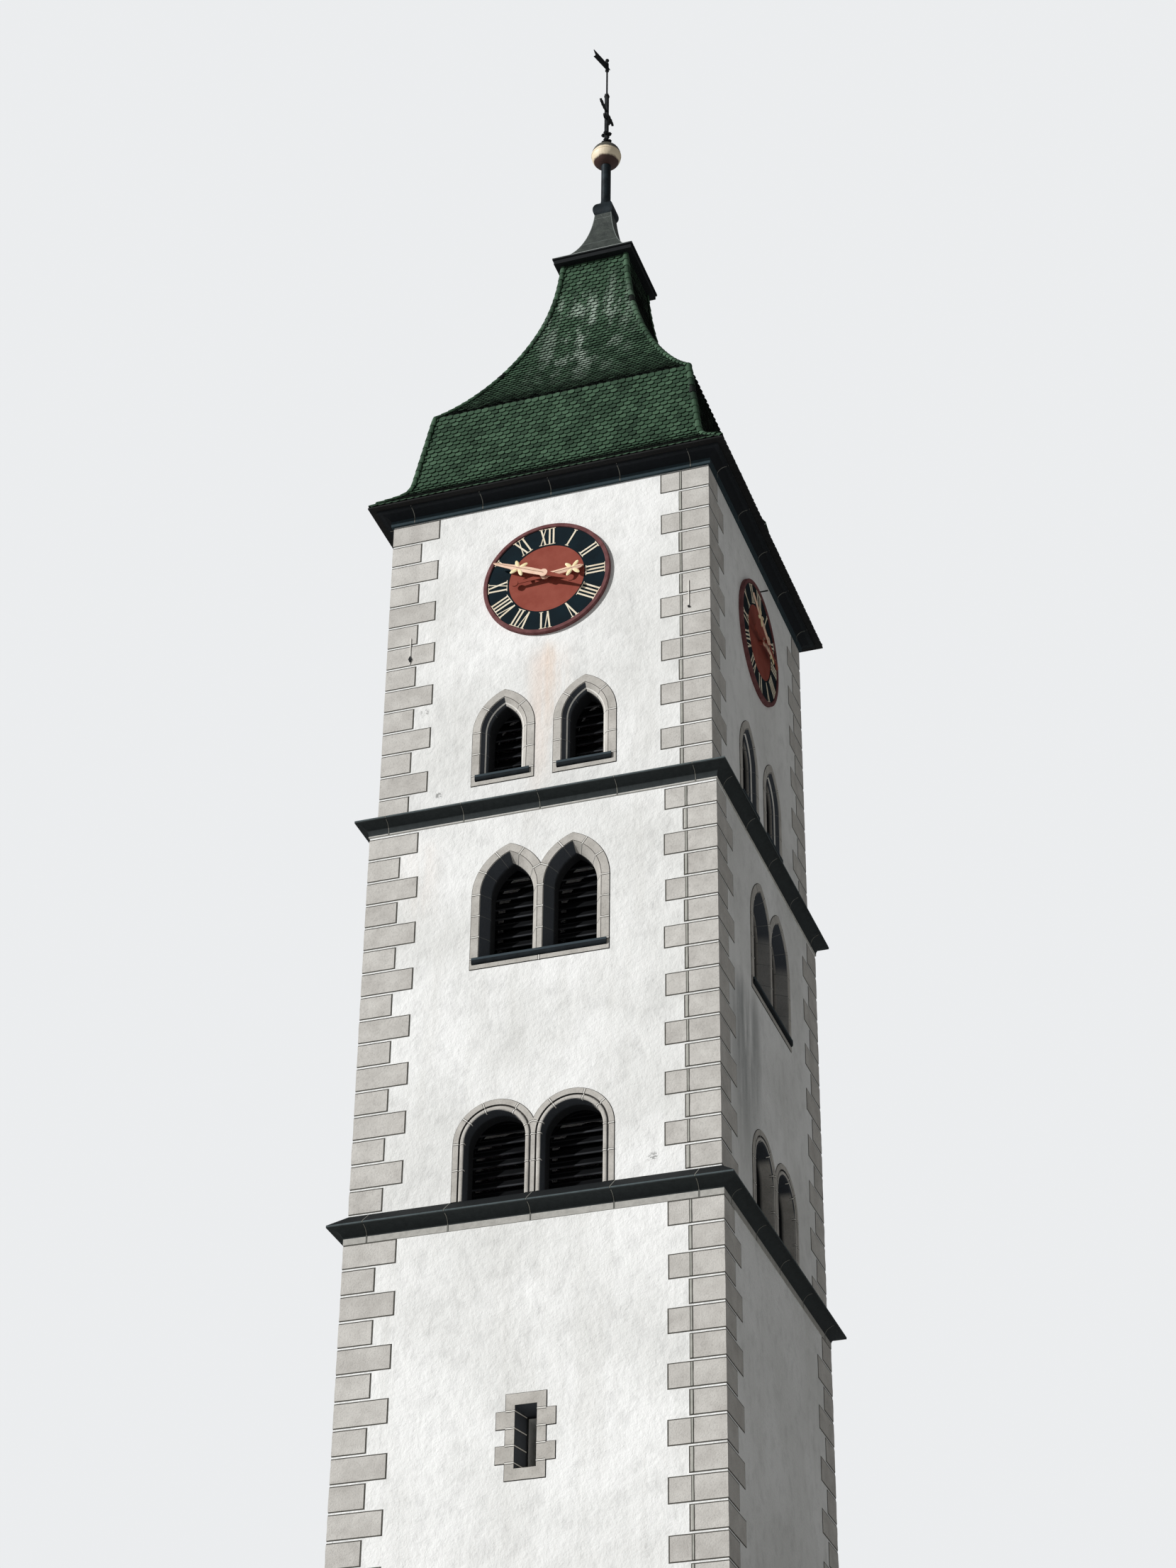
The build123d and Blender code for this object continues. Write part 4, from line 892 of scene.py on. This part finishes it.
def jointSpots(rule, middle):  # joints across the stone: a point on the light's edge, the way out, and the reach
    spots = []
    radius = rule["light"] + rule["shift"]
    crown = math.acos(rule["shift"] / radius)
    for way in (-1, 1):
        outer = not rule["twin"] or way * middle > 0
        for share in rule["outer"] if outer else rule["inner"]:
            angle = share * crown
            reach = rule["stone"]
            if not outer:
                reach = min(reach, (abs(middle) + rule["shift"]) / math.cos(angle) - radius)
            u, v = radius * math.cos(angle) - rule["shift"], radius * math.sin(angle)
            out = (way * math.cos(angle), math.sin(angle))
            spots.append(((middle + way * u, rule["spring"] + v), out, reach))
        level = rule["spring"]
        while level > rule["lowest"]:
            reach = rule["stone"] if outer else abs(middle) - rule["light"]
            spots.append(((middle + way * rule["light"], level), (way, 0.0), reach))
            level -= rule["course"]
    return spots


def addJoint(mesh, place, spot, out, chain, wide, proud):  # a strip that follows the stone's section
    rings = []
    for index, (reach, rise) in enumerate(chain):
        ring = []
        for way, deep in ((-0.5, proud), (0.5, proud), (0.5, -windows["sunk"]), (-0.5, -windows["sunk"])):
            along, across = reach - (deep if index else 0.0), way * wide
            u, v = spot[0] + out[0] * along - out[1] * across, spot[1] + out[1] * along + out[0] * across
            ring.append(place(u, v, rise + deep))
        rings.append(ring)
    addRings(mesh, rings)


def addMortar(lines, joints, place, spot, out, chain):  # a pale joint between two dark edges
    addJoint(lines, place, spot, out, chain, windows["shadow"], windows["shadowProud"])
    addJoint(joints, place, spot, out, chain, windows["joint"], windows["jointProud"])


def addWindow(kind, side, lines, joints, revealJoints):
    rule, line, proud = windows[kind], windows["line"], windows["lineProud"]
    plain, single = sidePlace(side, rule["half"]), dict(rule, twin=False)
    sill, skin = rule["foot"] + windows["sill"], windows["skin"]

    def place(u, v, w):
        return plain(u + rule["offset"], v, w)

    def strip(mesh, shape, middle, name, foot, outs, thick):  # between two outlines of the light
        low, high = (outlineOf(shape, middle, grow, foot) for grow in windows[name])
        addSheet(mesh, place, low, high, outs[0], outs[-1], thick)

    middles = (0.0,) if kind == "door" else (-rule["middle"], rule["middle"])
    for middle in middles[-1:] if rule["twin"] else middles:
        ways = (-middle, middle) if rule["twin"] else (middle,)
        drop = 0.0 if kind in ("round", "door") else line
        inner = outlineOf(rule, middle, rule["stone"], rule["foot"])
        outer = outlineOf(rule, middle, rule["stone"] + line, rule["foot"] - drop)
        addSheet(lines, place, inner, outer, proud, proud, proud + skin, closed=drop > 0)
        if kind == "upper":  # a pale strip painted along the edge between the hollow and the bevel, as a highlight where that edge catches the light
            strip(joints, rule, middle, "arris", sill, windows["arrisProud"], windows["arrisThick"])
        for spot in ways:
            if kind in ("upper", "twin"):  # the stones' inner edges
                strip(lines, single, spot, "innerLine", sill, [windows["innerProud"]], skin)
        if kind == "twin":  # the stone under the sill is in two lengths
            up, low, high = windows["underSill"]
            chain = ((low, windows["proud"]), (high, windows["proud"]))
            addMortar(lines, joints, place, (0.0, rule["foot"] + up), (0.0, -1.0), chain)
        for spot in ways:
            if kind == "round":  # the groove's floor, painted dark as shade in the groove
                strip(lines, single, spot, "groove", rule["foot"], [windows["grooveProud"]], skin)
    for middle in middles:
        for spot, out, reach in jointSpots(rule, middle):
            if kind != "round":
                addJoint(revealJoints, place, spot, out, rule["chain"], windows["revealJoint"],
                         windows["shadowProud"])
            chain = rule["chain"] if kind == "round" else rule["chain"][:1]
            addMortar(lines, joints, place, spot, out, ((reach, windows["proud"]),) + chain)


def buildWindowLines():
    lines, joints, revealJoints = newMesh(), newMesh(), newMesh()
    for kind in ("upper", "twin", "round", "door"):
        for side in ("front",) if kind == "door" else sideTurns:
            addWindow(kind, side, lines, joints, revealJoints)
    makePiece("surround_outlines", lines, "darkLine")
    makePiece("surround_joints", joints, "mortar")
    makePiece("reveal_joints", revealJoints, "revealLine")


buildWindowLines()
print("window lines done")


# Slit windows: courses of the stones, each with its outline

slits = {"heads": (11.358, 6.98533, 2.61267), "light": 0.104, "stone": 0.084, "long": 0.172, "headStone": 0.104,
         "high": 0.585, "courses": 5, "inset": 0.03, "splay": ((0.0, 0.008), (-0.046, -0.186))}


def buildSlitLines():
    lines, joints = newMesh(), newMesh()
    line, inset, courses = windows["line"], slits["inset"], slits["courses"]
    course = (slits["high"] + 2 * slits["headStone"]) / courses
    inner = slits["light"] + inset
    chain = ((slits["stone"], windows["proud"]),) + slits["splay"]
    for side in ("front", "back"):
        place = sidePlace(side, shaftHalf)
        for head in slits["heads"]:
            top = head + slits["headStone"]
            for index in range(courses):
                reach = slits["light"] + (slits["long"] if index % 2 else slits["stone"]) + line
                high, low = top - index * course + line, top - (index + 1) * course - line
                boxes = [(-reach, low, -inner, high), (inner, low, reach, high)]
                if index == 0:
                    boxes.append((-inner, high - inset, inner, high))
                if index == courses - 1:
                    boxes.append((-inner, low, inner, low + inset))
                for box in boxes:
                    addPrism(lines, place, rectangle(*box), -0.001, windows["lineProud"])
            for index in range(1, courses):
                for way in (-1, 1):
                    spot = (way * slits["light"], top - index * course)
                    addMortar(lines, joints, place, spot, (way, 0.0), chain)
    makePiece("slit_outlines", lines, "darkLine")
    makePiece("slit_joints", joints, "mortar")


buildSlitLines()


# Cornices and plinth: joints between the lengths of stone

mouldingJoints = {
    "lower_cornice": (-1.6, -0.8, 0.0, 0.8, 1.6), "upper_cornice": (-1.6, -0.8, 0.0, 0.8, 1.6),
    "eaves_cornice": (-1.51, -0.735, 0.03, 0.795, 1.565), "plinth": (-1.5, -0.9, 0.9, 1.5),
    "wide": 0.007, "border": 0.015, "proud": 0.0015, "borderProud": 0.00075, "sunk": 0.004, "samples": 28,
}


def buildMouldingJoints():
    rule = mouldingJoints
    pale, dark = newMesh(), newMesh()
    for name in ("lower_cornice", "upper_cornice", "eaves_cornice", "plinth"):
        section = frontLevels(name, -1.2, 0.0008, rule["samples"])
        for side in sideTurns:
            place = sidePlace(side, 0.0)
            for middle in rule[name]:
                for mesh, wide, proud in ((pale, rule["wide"], rule["proud"]),
                                          (dark, rule["border"], rule["borderProud"])):
                    left, right, sunk = middle - wide / 2, middle + wide / 2, -rule["sunk"]
                    corners = ((left, proud), (right, proud), (right, sunk), (left, sunk))
                    addRings(mesh, [[place(u, level, half + out) for u, out in corners] for half, level in section])
    makePiece("moulding_joints", pale, "corniceJoint")
    makePiece("moulding_joint_borders", dark, "jointBorder")


buildMouldingJoints()
print("joints of slits and mouldings done")


# Ironwork on the walls and the door's boards and hinges

ironwork = {"anchors": ((1.525, 19.72, 20.05, "knob"), (-1.495, 19.66, 19.99, "lozenge")), "wide": 0.008,
            "lozenge": (0.018, 0.042), "knob": 0.012, "foot": 0.06, "back": 0.003, "proud": 0.013, "endProud": 0.017,
            "pegSide": "right", "peg": (0.05, 21.12, 0.12), "pegRadius": 0.008}
doorParts = {"half": 0.328, "face": shaftHalf - 0.2, "boards": 6, "gap": 0.006, "hinges": (0.32, 1.0),
             "boardEnds": (-0.002, 0.010), "boardFoot": 0.003, "hingeHigh": 0.04, "hingeAcross": (-0.3, 0.2, 0.24),
             "hingeEnds": (0.009, 0.016), "ring": (0.22, 0.62, 0.035), "ringBar": (0.008, 0.022, 0.01)}


def buildIronwork():
    mesh, bars = newMesh(), newMesh()  # the anchors' bars are painted pale as a highlight where the iron catches the light, and their ends are bare iron
    place = sidePlace("front", clockHalf)
    wide, back = ironwork["wide"], ironwork["back"]
    across, up = ironwork["lozenge"]
    for left, low, high, end in ironwork["anchors"]:
        addPrism(bars, place, rectangle(left, low, left + wide, high), back, ironwork["proud"])
        spot, level = left + wide / 2, low + ironwork["foot"]
        shape = circlePoints(ironwork["knob"], 12, spot, low)
        if end == "lozenge":
            shape = [(spot - across, level), (spot, level - up), (spot + across, level), (spot, level + up)]
        addPrism(mesh, place, shape, back, ironwork["endProud"])
    middle, level, reach = ironwork["peg"]
    place = sidePlace(ironwork["pegSide"], clockHalf)
    addPrism(mesh, place, circlePoints(ironwork["pegRadius"], 10, middle, level), -0.01, reach)
    makePiece("wall_irons", mesh, "wroughtIron")
    makePiece("wall_iron_bars", bars, "mortar")


def buildDoor():
    boards, irons = newMesh(), newMesh()
    place = sidePlace("front", doorParts["face"])
    rule = windows["door"]
    radius = rule["light"] + rule["shift"]
    step, foot = 2 * doorParts["half"] / doorParts["boards"], doorParts["boardFoot"]
    for index in range(doorParts["boards"]):
        left = -doorParts["half"] + index * step + doorParts["gap"] / 2
        right = left + step - doorParts["gap"]
        outline = [(left, foot), (right, foot)]
        for u in (right, left):
            outline.append((u, rule["spring"] + math.sqrt(radius ** 2 - (abs(u) + rule["shift"]) ** 2)))
        addPrism(boards, place, outline, *doorParts["boardEnds"])
    root, neck, tip = doorParts["hingeAcross"]
    high = doorParts["hingeHigh"] / 2
    for level in doorParts["hinges"]:
        outline = [(root, level - high), (neck, level - high / 2), (tip, level), (neck, level + high / 2),
                   (root, level + high)]
        addPrism(irons, place, outline, *doorParts["hingeEnds"])
    u, v, radius = doorParts["ring"]
    wide, out, thick = doorParts["ringBar"]
    inner, outer = (circlePoints(size, 20, u, v) for size in (radius - wide, radius))
    addSheet(irons, place, inner, outer, out, out, thick, closed=True)
    makePiece("door_boards", boards, "doorWood")
    makePiece("door_irons", irons, "wroughtIron")


buildIronwork()
buildDoor()
print("ironwork and door done")


# Wrought cross: a chamfered stem, leaves with a raised rib, scrolls, and buds round the foot

crossParts = {
    "foot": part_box("finial_cross")[0].z, "high": 0.868, "bar": 0.023, "chamfer": 0.007, "armLevel": 0.570,
    "leaf": ((0.0, 0.015), (0.07, 0.013), (0.105, 0.034), (0.135, 0.019), (0.165, 0.038), (0.195, 0.020),
             (0.218, 0.027), (0.247, 0.001)), "rib": 0.015, "leafEdge": 0.010,
    "scroll": (0.059, 0.450, 0.041, 0.012), "turns": 1.6, "scrollSteps": 36, "scrollBar": 0.0045,
    "scrollWide": 0.013,
    "buds": (0.070, 0.190),
    "bud": ((0.018, 0.010), (0.034, 0.024), (0.046, 0.026), (0.058, 0.016), (0.068, 0.002)),
    "knob": ((-0.033, 0.008), (-0.024, 0.023), (-0.006, 0.030), (-0.005, 0.0338), (0.005, 0.0338), (0.006, 0.030),
             (0.024, 0.023), (0.033, 0.008)), "knobLevel": 0.834, "footRadius": 0.0398,
    "footParts": ((0.0, 1.0), (0.018, 1.0), (0.026, 0.8), (0.046, 0.7)),
}


def addTurned(mesh, level, axis, profile, count):  # a turned shape along an axis, given as (length, radius)
    middle = Vector((0, 0, crossParts["foot"] + level))
    axis = axis.normalized()
    first = axis.orthogonal().normalized()
    second = axis.cross(first)
    addRings(mesh, [[middle + axis * length + first * u + second * v for u, v in circlePoints(radius, count)]
                    for length, radius in profile])


def buildCross():
    mesh, rule = newMesh(), crossParts
    bar, edge, wide = rule["bar"], rule["leafEdge"], rule["scrollWide"]

    def place(across, level, out):
        return Vector((out, across, rule["foot"] + level))

    cut = bar - rule["chamfer"]
    section = [(bar, -cut), (bar, cut), (cut, bar), (-cut, bar), (-bar, cut), (-bar, -cut), (-cut, -bar), (cut, -bar)]
    addPrism(mesh, lambda u, v, w: Vector((u, v, rule["foot"] + w)), section, 0.0, rule["high"])
    for way in (-1, 1):
        rings = []
        for reach, half in rule["leaf"]:
            rib = rule["rib"] if reach < rule["leaf"][-1][0] else edge
            ring = ((half, edge), (0, rib), (-half, edge), (-half, -edge), (0, -rib), (half, -edge))
            rings.append([place(way * reach, rule["armLevel"] + up, out) for up, out in ring])
        addRings(mesh, rings)
        middle, level, outer, inner = rule["scroll"]
        lines = ([], [])
        for step in range(rule["scrollSteps"] + 1):
            share = step / rule["scrollSteps"]
            angle = math.pi - 2 * math.pi * rule["turns"] * share
            for line, off in zip(lines, (-rule["scrollBar"], rule["scrollBar"])):
                size = outer + (inner - outer) * share + off
                line.append((way * (middle + size * math.cos(angle)), level + size * math.sin(angle)))
        addSheet(mesh, place, lines[0], lines[1], wide, wide, 2 * wide)
    for level in rule["buds"]:
        for turn in map(math.radians, sideTurns.values()):
            addTurned(mesh, level, Vector((math.sin(turn), -math.cos(turn), 0)), rule["bud"], 12)
    upward = Vector((0, 0, 1))
    addTurned(mesh, rule["knobLevel"], upward, rule["knob"], 20)
    addTurned(mesh, 0.0, upward, [(up, share * rule["footRadius"]) for up, share in rule["footParts"]], 20)
    piece = makePiece("wrought_cross", mesh, "wroughtIron")
    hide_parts("finial_cross")


buildCross()
print("cross done")


# Floor, light and camera

floorLook = {"size": 400.0, "colour": (0.60, 0.60, 0.59, 1), "seen": (0.80, 0.80, 0.79, 1), "roughness": 0.9}
camera = {"place": (8.9965, -26.321, 0.8125), "right": (0.94693683, 0.32124968, 0.01045355),
          "up": (0.16736822, -0.52058972, 0.83724203), "focalPixels": 4448.3, "frameHigh": 2212, "film": 24.0,
          "farthest": 1000}


def addToScene(name, data):
    thing = bpy.data.objects.new(name, data)
    bpy.context.scene.collection.objects.link(thing)
    return thing


def buildFloor():
    data = bpy.data.meshes.new("studioFloor")
    size = floorLook["size"]
    data.from_pydata([(u, v, 0) for u, v in rectangle(-size, -size, size, size)], [], [(0, 1, 2, 3)])
    floor = addToScene("studio_floor", data)
    material, tree = newMaterial("paleFloor", floorLook["roughness"])
    seen = addNode(tree, "ShaderNodeLightPath", {}).outputs["Is Camera Ray"]
    data.materials.append(finishLook(material, mixColour(seen, floorLook["colour"], floorLook["seen"])))


def buildLight():
    lamp = bpy.data.lights.new("keyLight", "SUN")
    lamp.energy = light["sun"]
    lamp.angle = math.radians(light["softness"])
    addToScene("keyLight", lamp).rotation_euler = Vector(towardSun).to_track_quat("Z", "Y").to_euler()
    world = bpy.data.worlds.new("studioWorld")
    bpy.context.scene.world = world
    world.use_nodes = True
    tree = world.node_tree
    tree.nodes.clear()
    seen = addNode(tree, "ShaderNodeLightPath", {}).outputs["Is Camera Ray"]
    levels = {"Value": seen, "To Min": light["world"], "To Max": light["backdrop"]}
    strength = addNode(tree, "ShaderNodeMapRange", levels).outputs["Result"]
    background = addNode(tree, "ShaderNodeBackground", {"Color": light["sky"], "Strength": strength})
    addNode(tree, "ShaderNodeOutputWorld", {"Surface": background.outputs[0]})


def buildCamera():
    data = bpy.data.cameras.new("photoCamera")
    data.sensor_fit = "VERTICAL"
    data.sensor_height = camera["film"]
    data.lens = camera["focalPixels"] * camera["film"] / camera["frameHigh"]
    data.clip_end = camera["farthest"]
    right, up = Vector(camera["right"]).normalized(), Vector(camera["up"]).normalized()
    seat = addToScene("photoCamera", data)
    rotation = Matrix((right, up, right.cross(up))).transposed().to_4x4()
    seat.matrix_world = Matrix.Translation(camera["place"]) @ rotation
    bpy.context.scene.camera = seat


buildFloor()
buildLight()
buildCamera()
bpy.context.scene.view_settings.view_transform = "Standard"
print("stage, light and camera done")
